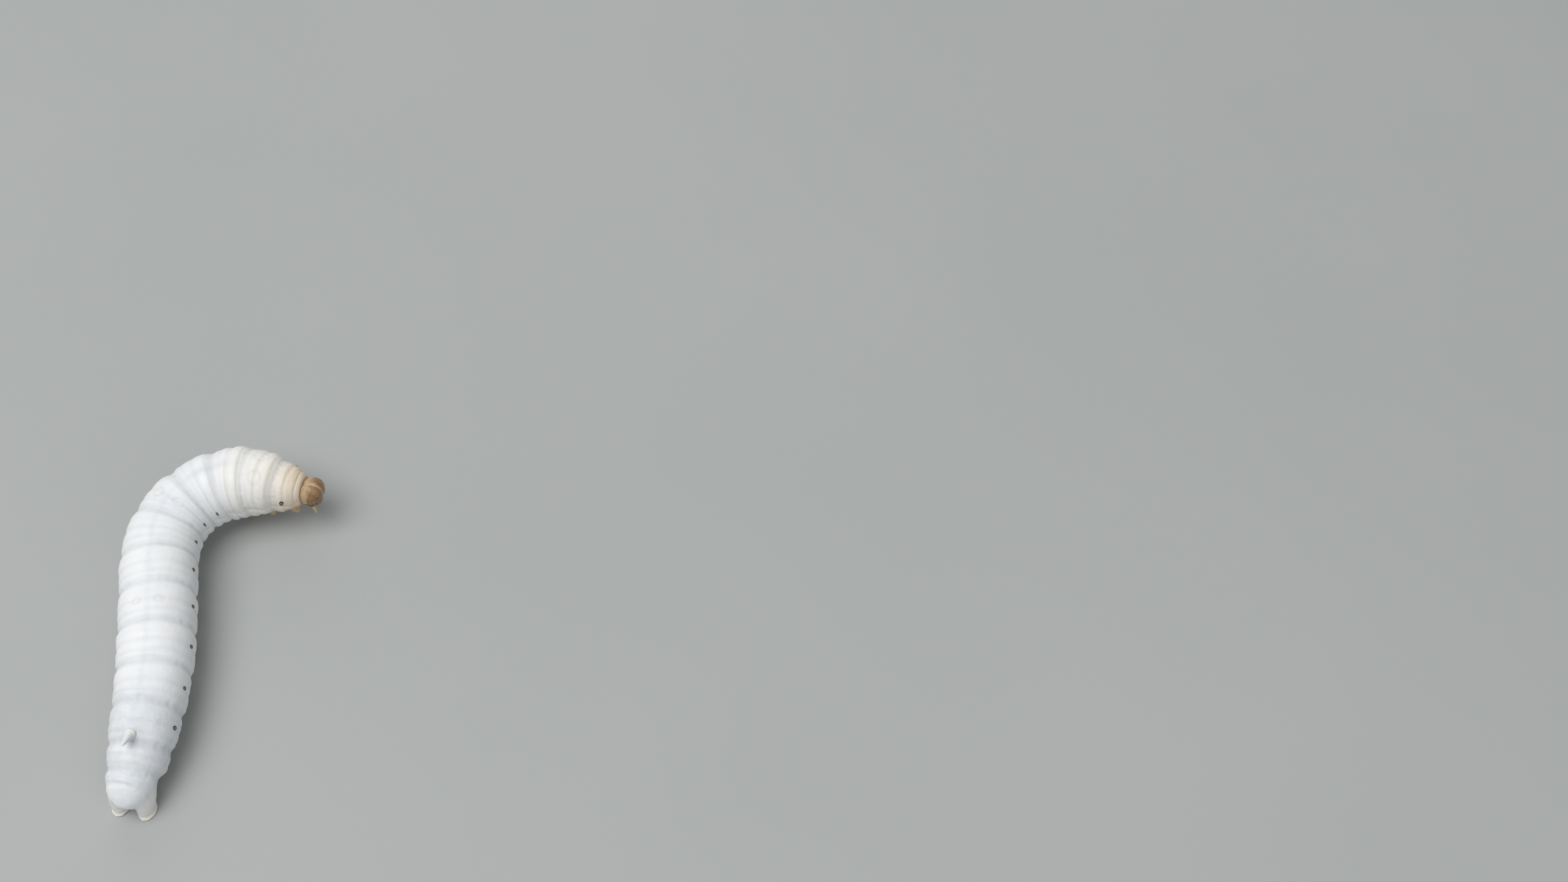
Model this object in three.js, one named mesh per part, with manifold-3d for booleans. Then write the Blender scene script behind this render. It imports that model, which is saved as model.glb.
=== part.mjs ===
// A life-size silkworm: the full-grown, fifth-stage larva of the mulberry silk moth.
// It stands on four pairs of prolegs and the claspers of its tail, with the front of the body
// lifted a little and curled round to the animal's right.
// Millimetres, +Z up, the floor at z = 0. The straight rear of the body lies along -Y and the
// head looks along +X. The origin is under the middle of the animal, on the floor.
import * as THREE from "three";
import { mergeVertices } from "three/addons/utils/BufferGeometryUtils.js";
import Module from "manifold-3d";

const wasm = await Module();
wasm.setup();

// Gaps between neighbours that meet face to face.
const GAP = 0.3;
const FINE_GAP = 0.2;

// The body's rings, from front to back. Each has its length along the spine, its full width and
// height at its middle, and how far its belly stands above the floor.
const RINGS = [
  { name: "prothorax", length: 3.6, width: 7.0, height: 6.9, clearance: 3.9 },
  { name: "mesothorax", length: 4.1, width: 9.1, height: 8.8, clearance: 3.1 },
  { name: "metathorax", length: 4.3, width: 10.3, height: 9.9, clearance: 2.3 },
  { name: "abdomen_1", length: 4.6, width: 10.15, height: 9.8, clearance: 1.9 },
  { name: "abdomen_2", length: 5.0, width: 10.2, height: 9.7, clearance: 1.6 },
  { name: "abdomen_3", length: 5.6, width: 10.3, height: 9.6, clearance: 1.5 },
  { name: "abdomen_4", length: 5.8, width: 10.4, height: 9.7, clearance: 1.5 },
  { name: "abdomen_5", length: 5.9, width: 10.3, height: 9.6, clearance: 1.5 },
  { name: "abdomen_6", length: 5.9, width: 10.2, height: 9.3, clearance: 1.5 },
  { name: "abdomen_7", length: 5.6, width: 9.6, height: 8.9, clearance: 1.5 },
  { name: "abdomen_8", length: 5.0, width: 8.9, height: 8.5, clearance: 1.5 },
  { name: "abdomen_9", length: 3.2, width: 7.8, height: 7.2, clearance: 1.3 },
  { name: "anal_segment", length: 4.8, width: 6.7, height: 5.9, clearance: 1.05 },
];
const THORAX_RINGS = 3;

// The spine in plan: its start at the front of the head, the compass heading there, and how the
// heading turns from the head towards the tail.
const HEAD_LENGTH = 3.2;
const SPINE = {
  startX: 11.6,
  startY: 18.9,
  heading: 168,
  curl: 112,
  curlFrom: 6.4,
  curlTo: 33.3,
  swing: -36.5,
  swingFrom: 34.8,
  swingTo: 90,
};
const SPINE_STEP = 0.05;

// The skin's relief, in millimetres.
const SKIN = {
  grooveDepth: 0.42,
  grooveWidth: 0.55,
  foldDepth: 0.12,
  foldWidth: 0.45,
  folds: [0.5, 0.76],
  thoraxFoldDepth: 0.24,
  flankBulge: 0.28,
  flankAngle: -30,
  flankSpread: 17,
  bellyFlatness: 0.9,
};
const COLLAR_SHRINK = 0.3;
const COLLAR_LENGTH = 2.6;
const LIP_DEPTH = 0.4;
const LIP_LENGTH = 0.5;
const TAIL_ROUNDING = 4.6;
const TAIL_POWER = 2.3;

// How finely a ring is drawn.
const ROUND_SIDES = 28;
const RING_STATIONS = [0, 0.09, 0.27, 0.5, 0.63, 0.76, 0.91, 1];
const TAIL_STATIONS = [0, 0.1, 0.3, 0.5, 0.66, 0.79, 0.89, 0.96];

const HEAD = {
  width: 4.2,
  height: 4.4,
  depth: 3.8,
  ahead: 1.15,
  drop: 0.35,
  pitch: -28,
  suture: 0.16,
};

// The simple eyes: where their pad sits on the capsule, and the domes' places on it in degrees.
const EYES = {
  turn: -24,
  across: 0.88,
  depth: 0.55,
  spread: 0.82,
  radius: 0.2,
  places: [
    [24, -6],
    [14, 10],
    [-4, 15],
    [-20, 8],
    [-27, -10],
    [2, -14],
  ],
};

const FINISHES = {
  skin: { color: 0xe9eaee, roughness: 0.62 },
  capsule: { color: 0xa5825c, roughness: 0.42 },
  leg: { color: 0xcbb493, roughness: 0.5 },
  mouth: { color: 0x4a3020, roughness: 0.35 },
  eye: { color: 0x17110d, roughness: 0.15 },
};

const UP = new THREE.Vector3(0, 0, 1);
const radians = THREE.MathUtils.degToRad;

function smoothstep(t) {
  const c = Math.min(1, Math.max(0, t));
  return c * c * (3 - 2 * c);
}

function bump(distance, width) {
  return Math.exp(-((distance / width) ** 2));
}

// Where each ring starts along the spine, and where the body ends.
const STARTS = RINGS.reduce((at, ring) => [...at, at.at(-1) + ring.length], [HEAD_LENGTH]);
const BODY_END = STARTS.at(-1);
const MIDDLES = RINGS.map((ring, i) => STARTS[i] + ring.length / 2);

// A ring size at any place along the spine: a cubic through the rings' middles.
function sizeAt(s, key) {
  const v = RINGS.map((ring) => ring[key]);
  const last = RINGS.length - 1;
  const slope = (i) =>
    i === 0 || i === last ? 0 : (v[i + 1] - v[i - 1]) / (MIDDLES[i + 1] - MIDDLES[i - 1]);
  let i = 0;
  while (i < last - 1 && s > MIDDLES[i + 1]) i += 1;
  const span = MIDDLES[i + 1] - MIDDLES[i];
  const t = Math.min(1, Math.max(0, (s - MIDDLES[i]) / span));
  const h = (1 + 2 * t) * (1 - t) ** 2;
  const g = t * (1 - t) ** 2;
  return h * v[i] + (1 - h) * v[i + 1] + g * span * slope(i) - t * t * (1 - t) * span * slope(i + 1);
}

function headingAt(s) {
  const curl = SPINE.curl * smoothstep((s - SPINE.curlFrom) / (SPINE.curlTo - SPINE.curlFrom));
  const swing = SPINE.swing * smoothstep((s - SPINE.swingFrom) / (SPINE.swingTo - SPINE.swingFrom));
  return radians(SPINE.heading + curl + swing);
}

// The spine's plan, walked once in small steps.
const TRACK = [[SPINE.startX, SPINE.startY]];
for (let s = SPINE_STEP; s < BODY_END + SPINE_STEP; s += SPINE_STEP) {
  const turn = headingAt(s - SPINE_STEP / 2);
  const [x, y] = TRACK.at(-1);
  TRACK.push([x + SPINE_STEP * Math.cos(turn), y + SPINE_STEP * Math.sin(turn)]);
}

function axisHeight(s) {
  return sizeAt(s, "clearance") + sizeAt(s, "height") / 2;
}

function spinePoint(s) {
  const k = Math.min(TRACK.length - 2, Math.max(0, s / SPINE_STEP));
  const i = Math.floor(k);
  const [x0, y0] = TRACK[i];
  const [x1, y1] = TRACK[i + 1];
  const t = k - i;
  return new THREE.Vector3(x0 + (x1 - x0) * t, y0 + (y1 - y0) * t, axisHeight(s));
}

// The body's own directions at s: forward to the head, left and up.
function frameAt(s) {
  const turn = headingAt(s);
  const rise = (axisHeight(s + SPINE_STEP) - axisHeight(s - SPINE_STEP)) / (2 * SPINE_STEP);
  const forward = new THREE.Vector3(-Math.cos(turn), -Math.sin(turn), -rise).normalize();
  const left = new THREE.Vector3().crossVectors(UP, forward).normalize();
  const up = new THREE.Vector3().crossVectors(forward, left);
  return { centre: spinePoint(s), forward, left, up };
}

// How much the body draws in at its collar and rounds off at its tail, from 0 to 1.
function draw(s) {
  const collar = 1 - COLLAR_SHRINK * (1 - smoothstep((s - HEAD_LENGTH) / COLLAR_LENGTH));
  const u = Math.min(1, Math.max(0, (s - (BODY_END - TAIL_ROUNDING)) / TAIL_ROUNDING));
  return collar * Math.sqrt(Math.max(0, 1 - u ** TAIL_POWER));
}

// Grooves between rings, the lesser folds on them, the long swelling along each flank, and the
// rounded lip of the collar.
function relief(s, angle) {
  const back = 0.55 + 0.45 * Math.sin(angle);
  let depth = 0;
  STARTS.forEach((edge) => {
    depth += SKIN.grooveDepth * bump(s - edge, SKIN.grooveWidth) * (0.5 + 0.5 * back);
  });
  RINGS.forEach((ring, i) => {
    const fold = i < THORAX_RINGS ? SKIN.thoraxFoldDepth : SKIN.foldDepth;
    SKIN.folds.forEach((place) => {
      depth += fold * bump(s - STARTS[i] - place * ring.length, SKIN.foldWidth) * back;
    });
  });
  const flank = radians(SKIN.flankAngle);
  const low = Math.asin(Math.sin(angle)) - flank;
  const swelling = SKIN.flankBulge * bump(low, radians(SKIN.flankSpread));
  const lip = Math.min(1, Math.max(0, (s - HEAD_LENGTH) / LIP_LENGTH));
  return swelling - depth - LIP_DEPTH * (1 - Math.sqrt(1 - (1 - lip) ** 2));
}

// A point of the body's surface. The angle runs from the left flank over the back to the right.
function bodyPoint(s, angle, frame = frameAt(s), offset = 0) {
  const shrink = draw(s);
  const round = Math.sin(angle) < 0 ? SKIN.bellyFlatness : 1;
  const out = relief(s, angle) * shrink + offset;
  const across = (sizeAt(s, "width") / 2) * shrink + out;
  const tall = (sizeAt(s, "height") / 2) * shrink + out;
  return frame.centre
    .clone()
    .addScaledVector(frame.left, across * Math.cos(angle))
    .addScaledVector(frame.up, tall * Math.sign(Math.sin(angle)) * Math.abs(Math.sin(angle)) ** round);
}

// A closed surface through a list of rings of points, its two ends closed by fans.
function loft(rings) {
  const sides = rings[0].length;
  const points = rings.flat();
  const index = [];
  for (let r = 0; r + 1 < rings.length; r += 1) {
    for (let k = 0; k < sides; k += 1) {
      const a = r * sides + k;
      const b = r * sides + ((k + 1) % sides);
      index.push(a, b, a + sides, b, b + sides, a + sides);
    }
  }
  [0, rings.length - 1].forEach((r) => {
    const centre = new THREE.Vector3();
    rings[r].forEach((p) => centre.addScaledVector(p, 1 / sides));
    points.push(centre);
    for (let k = 0; k < sides; k += 1) {
      const a = r * sides + k;
      const b = r * sides + ((k + 1) % sides);
      index.push(points.length - 1, r === 0 ? b : a, r === 0 ? a : b);
    }
  });
  return new THREE.BufferGeometry().setFromPoints(points).setIndex(index);
}

// three.js geometry to a solid, turned the right way out, and back.
function toSolid(geometry) {
  const plain = geometry.clone();
  plain.deleteAttribute("normal");
  plain.deleteAttribute("uv");
  const merged = mergeVertices(plain, 1e-4);
  const triVerts = new Uint32Array(merged.index.array);
  const vertProperties = new Float32Array(merged.attributes.position.array);
  const solid = new wasm.Manifold(new wasm.Mesh({ numProp: 3, vertProperties, triVerts }));
  if (solid.volume() > 0) return solid;
  for (let i = 0; i < triVerts.length; i += 3) {
    [triVerts[i + 1], triVerts[i + 2]] = [triVerts[i + 2], triVerts[i + 1]];
  }
  return new wasm.Manifold(new wasm.Mesh({ numProp: 3, vertProperties, triVerts }));
}

function toGeometry(solid) {
  const mesh = solid.getMesh();
  const position = new Float32Array(mesh.numVert * 3);
  for (let i = 0; i < mesh.numVert; i += 1) {
    position.set(mesh.vertProperties.subarray(i * mesh.numProp, i * mesh.numProp + 3), i * 3);
  }
  const geometry = new THREE.BufferGeometry();
  geometry.setAttribute("position", new THREE.BufferAttribute(position, 3));
  geometry.setIndex(new THREE.BufferAttribute(new Uint32Array(mesh.triVerts), 1));
  geometry.computeVertexNormals();
  return geometry;
}

function largest(solid) {
  return solid.decompose().sort((a, b) => b.volume() - a.volume())[0];
}

function part(name, solid, finish) {
  const material = new THREE.MeshStandardMaterial({ ...FINISHES[finish], metalness: 0 });
  const mesh = new THREE.Mesh(toGeometry(solid), material);
  mesh.name = name;
  return mesh;
}

const angles = Array.from({ length: ROUND_SIDES }, (_, k) => (2 * Math.PI * k) / ROUND_SIDES);

function ringOfPoints(s, offset = 0, slide = 0) {
  const frame = frameAt(s);
  frame.centre.addScaledVector(frame.forward, -slide);
  return angles.map((angle) => bodyPoint(s, angle, frame, offset));
}

// One ring of the body. Its ends are flat and stand half a gap inside its borders.
function bodyRing(i) {
  const last = i === RINGS.length - 1;
  const stations = last ? TAIL_STATIONS : RING_STATIONS;
  const rows = stations.map((u) => {
    const slide = u === 0 ? GAP / 2 : u === 1 ? -GAP / 2 : 0;
    return ringOfPoints(STARTS[i] + u * RINGS[i].length, 0, slide);
  });
  if (last) {
    const tip = spinePoint(BODY_END);
    rows.push(angles.map(() => tip.clone()));
    return toSolid(loftToPoint(rows));
  }
  return toSolid(loft(rows));
}

// The same, where the last ring has shrunk to one point.
function loftToPoint(rows) {
  const body = rows.slice(0, -1);
  const sides = body[0].length;
  const geometry = loft(body);
  const position = geometry.attributes.position;
  const tip = rows.at(-1)[0];
  position.setXYZ(body.length * sides + 1, tip.x, tip.y, tip.z);
  return geometry;
}

// The body swollen by a gap, which cuts whatever grows from it.
function bodySleeve(from, to, gap = GAP) {
  const rows = [];
  for (let s = from; s <= to; s += 0.7) rows.push(ringOfPoints(Math.min(s, BODY_END - 0.2), gap));
  return toSolid(loft(rows));
}

// A tapering limb along a bent line: each row is [along, radius across, radius fore and aft].
function limb(root, axis, aft, bend, rows, sides) {
  const side = new THREE.Vector3().crossVectors(axis, aft).normalize();
  const rings = rows.map(([along, across, deep]) => {
    const centre = root.clone().addScaledVector(axis, along).addScaledVector(aft, bend * along * along);
    return Array.from({ length: sides }, (_, k) => {
      const a = (2 * Math.PI * k) / sides;
      return centre
        .clone()
        .addScaledVector(side, across * Math.cos(a))
        .addScaledVector(aft, deep * Math.sin(a));
    });
  });
  return toSolid(loft(rings));
}

// A short jointed leg of the thorax, with its claw.
function thoracicLeg(i, sign) {
  const s = MIDDLES[i] + 0.2;
  const frame = frameAt(s);
  const root = bodyPoint(s, radians(sign > 0 ? -62 : 242), frame, -1.0);
  const axis = new THREE.Vector3()
    .addScaledVector(frame.up, -1)
    .addScaledVector(frame.left, -0.1 * sign)
    .addScaledVector(frame.forward, 0.28)
    .normalize();
  const rows = [
    [0, 1.0, 1.0],
    [1.3, 0.9, 0.88],
    [1.75, 0.68, 0.66],
    [2.1, 0.66, 0.62],
    [2.45, 0.5, 0.48],
    [2.85, 0.44, 0.42],
    [3.15, 0.28, 0.27],
    [3.55, 0.1, 0.1],
  ];
  const aft = frame.forward.clone().addScaledVector(axis, -frame.forward.dot(axis)).normalize();
  const leg = limb(root, axis, aft, -0.05, rows, 10);
  return largest(leg.subtract(bodySleeve(s - 3.4, s + 3.4)));
}

// A fleshy proleg that ends in a broad flat sole on the floor.
function proleg(s, sign, size) {
  const frame = frameAt(s);
  const root = bodyPoint(s, radians(sign > 0 ? size.angle : 180 - size.angle), frame, -size.sink);
  const foot = root.clone().addScaledVector(frame.left, size.splay * sign);
  foot.addScaledVector(frame.forward, size.reach);
  foot.z = 0;
  const drop = foot.clone().sub(root);
  const forward = new THREE.Vector3(frame.forward.x, frame.forward.y, 0).normalize();
  const left = new THREE.Vector3().crossVectors(UP, forward);
  const rings = size.rows.map(([t, across, deep]) =>
    Array.from({ length: size.sides }, (_, k) => {
      const a = (2 * Math.PI * k) / size.sides;
      return root
        .clone()
        .addScaledVector(drop, t)
        .addScaledVector(left, across * Math.cos(a))
        .addScaledVector(forward, deep * Math.sin(a));
    }),
  );
  const leg = toSolid(loft(rings));
  return largest(leg.subtract(bodySleeve(s - size.cut, Math.min(s + size.cut, BODY_END))));
}

const PROLEG = {
  angle: -54,
  sink: 1.3,
  splay: 0.15,
  reach: 0,
  cut: 3.5,
  sides: 14,
  rows: [
    [0, 1.75, 2.0],
    [0.4, 1.65, 1.9],
    [0.58, 1.35, 1.6],
    [0.7, 1.28, 1.5],
    [0.84, 1.02, 1.26],
    [0.94, 1.14, 1.42],
    [1, 1.02, 1.3],
  ],
};

const CLASPER = {
  angle: -36,
  sink: 1.5,
  splay: 0.3,
  reach: -1.1,
  cut: 3.4,
  sides: 14,
  rows: [
    [0, 1.45, 2.0],
    [0.4, 1.5, 1.95],
    [0.62, 1.3, 1.7],
    [0.8, 1.12, 1.45],
    [0.93, 1.24, 1.6],
    [1, 1.12, 1.48],
  ],
};

// The soft horn on the back of the eighth ring.
function caudalHorn() {
  const i = RINGS.findIndex((ring) => ring.name === "abdomen_8");
  const s = STARTS[i] + 0.72 * RINGS[i].length;
  const frame = frameAt(s);
  const root = bodyPoint(s, Math.PI / 2, frame, -1.0);
  const axis = frame.up.clone().addScaledVector(frame.forward, -0.75).normalize();
  const aft = frame.forward.clone().addScaledVector(axis, -frame.forward.dot(axis)).normalize();
  const rows = [
    [0, 0.95, 0.95],
    [1.2, 0.82, 0.82],
    [1.7, 0.6, 0.6],
    [2.4, 0.44, 0.44],
    [3.2, 0.3, 0.3],
    [3.8, 0.13, 0.13],
  ];
  const horn = limb(root, axis, aft, -0.03, rows, 10);
  return largest(horn.subtract(bodySleeve(s - 3, s + 3)));
}

// The head's own frame: it hangs nose down from the collar.
function headFrame() {
  const body = frameAt(HEAD_LENGTH);
  const pitch = radians(HEAD.pitch);
  const face = body.forward
    .clone()
    .multiplyScalar(Math.cos(pitch))
    .addScaledVector(body.up, Math.sin(pitch));
  const crown = new THREE.Vector3().crossVectors(face, body.left);
  const centre = spinePoint(HEAD_LENGTH)
    .addScaledVector(body.forward, HEAD.ahead)
    .addScaledVector(body.up, -HEAD.drop);
  return { centre, face, crown, left: body.left, body };
}

function inHead(frame, ahead, left, high) {
  return frame.centre
    .clone()
    .addScaledVector(frame.face, ahead)
    .addScaledVector(frame.left, left)
    .addScaledVector(frame.crown, high);
}

// The capsule's surface, from two angles: round the left-right axis, and from left to right.
function capsulePoint(frame, turn, across, offset = 0) {
  const side = Math.sin(across);
  const round = Math.cos(across);
  const ahead = Math.cos(turn) * round;
  const high = Math.sin(turn) * round;
  const cleft = HEAD.suture * bump(side, 0.16) * (high > -0.3 ? 1 : 0.3);
  const jaw = 1 - 0.16 * smoothstep((-high - 0.25) / 0.7);
  const flat = ahead > 0 ? 0.9 : 1;
  return inHead(
    frame,
    (HEAD.depth / 2 - cleft + offset) * ahead * flat,
    (HEAD.width / 2 + offset) * side * jaw,
    (HEAD.height / 2 - cleft + offset) * high,
  );
}

function capsule(frame, offset = 0) {
  const sides = 18;
  const rows = [];
  for (let r = 1; r < 13; r += 1) {
    const across = Math.PI * (r / 13 - 0.5);
    rows.push(
      Array.from({ length: sides }, (_, k) =>
        capsulePoint(frame, (2 * Math.PI * k) / sides, across, offset),
      ),
    );
  }
  return toSolid(loft(rows));
}

// A little rounded lump in the head's frame, given by its place and half sizes.
function lump(frame, [ahead, left, high], [deep, wide, tall], lean = 0) {
  const geometry = new THREE.SphereGeometry(1, 12, 8);
  const tilt = radians(lean);
  const axisA = frame.face.clone().multiplyScalar(Math.cos(tilt)).addScaledVector(frame.crown, Math.sin(tilt));
  const axisC = new THREE.Vector3().crossVectors(axisA, frame.left);
  const place = new THREE.Matrix4()
    .makeBasis(
      axisA.clone().multiplyScalar(deep),
      frame.left.clone().multiplyScalar(wide),
      axisC.clone().multiplyScalar(tall),
    )
    .setPosition(inHead(frame, ahead, left, high));
  return toSolid(geometry.applyMatrix4(place));
}

// The simple eyes of one side: six little domes in a hook on one low pad, let into the cheek.
function eyePatch(frame, sign, grow = 0) {
  const across = sign * EYES.across;
  const seat = capsulePoint(frame, radians(EYES.turn), across, 0);
  const reach = new THREE.SphereGeometry(1, 16, 10);
  const out = seat.clone().sub(frame.centre).normalize();
  const along = new THREE.Vector3().crossVectors(out, frame.left).normalize();
  const rest = new THREE.Vector3().crossVectors(along, out);
  const place = new THREE.Matrix4()
    .makeBasis(
      out.clone().multiplyScalar(EYES.depth + grow),
      rest.clone().multiplyScalar(EYES.spread + grow),
      along.clone().multiplyScalar(EYES.spread + grow),
    )
    .setPosition(seat);
  const seatShape = toSolid(reach.applyMatrix4(place));
  if (grow > 0) return seatShape;
  const domes = EYES.places.map(([u, v]) => {
    const spot = capsulePoint(frame, radians(EYES.turn + u), across + sign * radians(v), -0.06);
    const ball = new THREE.SphereGeometry(EYES.radius, 10, 8);
    return toSolid(ball.translate(spot.x, spot.y, spot.z));
  });
  return wasm.Manifold.union([seatShape.intersect(capsule(frame, 0.04)), ...domes]);
}

function headParts() {
  const frame = headFrame();
  const collar = frame.body;
  const offset = collar.forward.dot(spinePoint(HEAD_LENGTH)) + GAP / 2;
  const plain = capsule(frame).trimByPlane(collar.forward.toArray(), offset);
  const grown = capsule(frame, FINE_GAP);
  const eyes = [1, -1].map((sign) => eyePatch(frame, sign));
  const sockets = wasm.Manifold.union([1, -1].map((sign) => eyePatch(frame, sign, FINE_GAP)));
  const head = largest(plain.subtract(sockets));

  const labrum = lump(frame, [1.42, 0, -1.25], [0.55, 0.85, 0.5], -35);
  const jaws = [1, -1].map((sign) => lump(frame, [1.0, 0.52 * sign, -1.95], [0.5, 0.44, 0.62], -10));
  const chin = lump(frame, [0.05, 0, -2.0], [0.62, 0.8, 0.6]);
  const spinneret = lump(frame, [0.3, 0, -2.6], [0.24, 0.24, 0.6], 10);
  const keepOff = (solid, ...others) =>
    largest(others.reduce((left, other) => left.subtract(other), solid.subtract(grown)));
  const swollenJaws = [1, -1].map((sign) =>
    lump(frame, [1.0, 0.52 * sign, -1.95], [0.7, 0.64, 0.82], -10),
  );
  const midline = lump(frame, [1.0, 0, -2.0], [1.2, 0.08, 1.2]);

  const nodes = [part("head", head, "capsule")];
  nodes.push(part("labrum", keepOff(labrum, ...swollenJaws), "capsule"));
  nodes.push(part("labium", keepOff(chin.add(spinneret), ...swollenJaws), "capsule"));
  [1, -1].forEach((sign, k) => {
    const hand = sign > 0 ? "left" : "right";
    nodes.push(part(`mandible_${hand}`, keepOff(jaws[k], midline), "mouth"));
    nodes.push(part(`eye_${hand}`, largest(eyes[k]), "eye"));
    nodes.push(part(`antenna_${hand}`, antenna(frame, sign).subtract(grown), "leg"));
  });
  return nodes;
}

// A stubby feeler of three joints, low on the side of the face.
function antenna(frame, sign) {
  const root = inHead(frame, 1.0, 1.28 * sign, -1.2);
  const axis = new THREE.Vector3()
    .addScaledVector(frame.face, 0.8)
    .addScaledVector(frame.left, 0.42 * sign)
    .addScaledVector(frame.crown, -0.62)
    .normalize();
  const rows = [
    [0, 0.3, 0.3],
    [0.5, 0.29, 0.29],
    [0.8, 0.25, 0.25],
    [1.1, 0.2, 0.2],
    [1.32, 0.1, 0.1],
  ];
  return limb(root, axis, frame.crown.clone(), 0, rows, 8);
}

const silkworm = new THREE.Group();
RINGS.forEach((ring, i) => silkworm.add(part(ring.name, bodyRing(i), "skin")));
silkworm.add(...headParts());
silkworm.add(part("caudal_horn", caudalHorn(), "skin"));
[
  [1, "left"],
  [-1, "right"],
].forEach(([sign, hand]) => {
  for (let i = 0; i < THORAX_RINGS; i += 1) {
    silkworm.add(part(`thoracic_leg_${i + 1}_${hand}`, thoracicLeg(i, sign), "leg"));
  }
  for (let ring = 3; ring <= 6; ring += 1) {
    const s = MIDDLES[THORAX_RINGS + ring - 1];
    silkworm.add(part(`proleg_${ring}_${hand}`, proleg(s, sign, PROLEG), "skin"));
  }
  const clasperAt = MIDDLES.at(-1) - 0.4;
  silkworm.add(part(`anal_proleg_${hand}`, proleg(clasperAt, sign, CLASPER), "skin"));
});

// The origin goes under the middle of the whole animal.
const box = new THREE.Box3().setFromObject(silkworm);
const middle = box.getCenter(new THREE.Vector3());
silkworm.children.forEach((mesh) => mesh.geometry.translate(-middle.x, -middle.y, 0));

export default silkworm;
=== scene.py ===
"""Dresses the life-size silkworm: one skin over the rings of its body, its head, legs, hooks and hairs.

Shapes are worked out in millimetres in the part's own frame and put into meshes in metres. The spine, the
rings and the sizes that the solids share are the same named values here.
"""

import logging
import math
from dataclasses import dataclass, field
from enum import Enum
from typing import Callable, Sequence

import bpy
import numpy as np
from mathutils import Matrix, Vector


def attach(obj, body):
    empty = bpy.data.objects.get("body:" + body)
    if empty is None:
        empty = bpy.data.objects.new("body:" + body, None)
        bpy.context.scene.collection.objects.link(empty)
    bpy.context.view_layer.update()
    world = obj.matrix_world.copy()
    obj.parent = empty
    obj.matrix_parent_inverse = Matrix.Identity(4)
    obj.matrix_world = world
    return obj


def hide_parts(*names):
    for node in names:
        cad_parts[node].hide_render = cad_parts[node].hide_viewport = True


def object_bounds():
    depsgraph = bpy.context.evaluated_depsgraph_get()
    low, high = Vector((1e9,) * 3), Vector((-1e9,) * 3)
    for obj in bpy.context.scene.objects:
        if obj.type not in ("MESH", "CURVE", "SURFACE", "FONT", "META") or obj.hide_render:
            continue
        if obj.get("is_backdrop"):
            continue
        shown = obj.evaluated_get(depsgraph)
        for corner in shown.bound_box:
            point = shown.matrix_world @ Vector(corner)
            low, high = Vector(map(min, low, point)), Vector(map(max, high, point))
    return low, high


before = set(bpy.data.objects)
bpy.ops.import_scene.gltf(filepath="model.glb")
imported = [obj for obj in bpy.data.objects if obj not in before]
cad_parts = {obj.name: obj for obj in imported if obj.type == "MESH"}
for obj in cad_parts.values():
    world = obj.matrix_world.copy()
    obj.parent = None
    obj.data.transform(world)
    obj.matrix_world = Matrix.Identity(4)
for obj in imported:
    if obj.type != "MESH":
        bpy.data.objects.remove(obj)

LOG = logging.getLogger("silkworm")
MM = 0.001
TAU = 2 * math.pi
UP = np.array([0.0, 0.0, 1.0])
LEVEL = np.array([1.0, 1.0, 0.0])
Array = np.ndarray
Colour = tuple[float, float, float]
Inputs = dict[str | int, object]
Node = bpy.types.Node
Object = bpy.types.Object
Socket = bpy.types.NodeSocket


class Side(Enum):
    """The animal's own left or right, as a sign along the body's left direction."""

    LEFT = 1
    RIGHT = -1

    @property
    def word(self) -> str:
        """The side as the solids' names say it."""
        return self.name.lower()

    def angle(self, degrees: float) -> float:
        """Returns an angle round the body, given for the left side in degrees, on this side in radians."""
        return math.radians(degrees if self is Side.LEFT else 180 - degrees)


class Slot(Enum):
    """The record's material slots."""

    SKIN = "skin"
    CAPSULE = "capsule"
    LEG = "leg"
    MANDIBLE = "mandible"
    EYE = "eye"


def smoothstep(t: Array | float) -> Array:
    """Returns t held to 0..1 and eased by 3t^2 - 2t^3."""
    c = np.clip(t, 0.0, 1.0)
    return c * c * (3 - 2 * c)


def bump(distance: Array | float, width: float) -> Array:
    """Returns exp(-(distance / width)^2), a smooth hill 1 high at distance 0."""
    return np.exp(-((np.asarray(distance) / width) ** 2))


def unit(v: Array) -> Array:
    """Returns vectors of length 1 along the last axis."""
    return v / np.maximum(np.linalg.norm(v, axis=-1, keepdims=True), 1e-9)


def around(count: int) -> Array:
    """Returns even angles of one whole turn."""
    return np.linspace(0, TAU, count, endpoint=False)


def elevation(angle: Array) -> Array:
    """Returns how high an angle round the body stands over the flanks: a quarter turn at the back."""
    return np.arcsin(np.sin(angle))


def across(line: Array, way: Array) -> Array:
    """Returns the direction nearest to way that stands square on a unit line."""
    return unit(way - line * float(way @ line))


def tube(centre: Array, one: Array, two: Array, wide: Array, deep: Array, angle: Array) -> Array:
    """Returns rings of points: centre + one * wide * cos(angle) + two * deep * sin(angle)."""
    return centre + one * (wide * np.cos(angle))[..., None] + two * (deep * np.sin(angle))[..., None]


def ripple(rng: np.random.Generator, u: Array, v: Array, count: int, low: float, high: float) -> Array:
    """Sums seeded sine waves over two coordinates, each with its own direction, wave number and phase.

    Args:
        rng: The seeded source.
        u: First coordinate.
        v: Second coordinate, which the waves cross less often.
        count: How many waves.
        low: Smallest wave number.
        high: Largest wave number.

    Returns:
        The sum, scaled to about -1..1.
    """
    total = np.zeros(np.broadcast(u, v).shape)
    for _ in range(count):
        k = rng.uniform(low, high)
        turn = rng.uniform(-0.9, 0.9)
        total += np.sin(k * (u * math.cos(turn) + v * math.sin(turn)) + rng.uniform(0, TAU))
    return total / math.sqrt(count)


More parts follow.
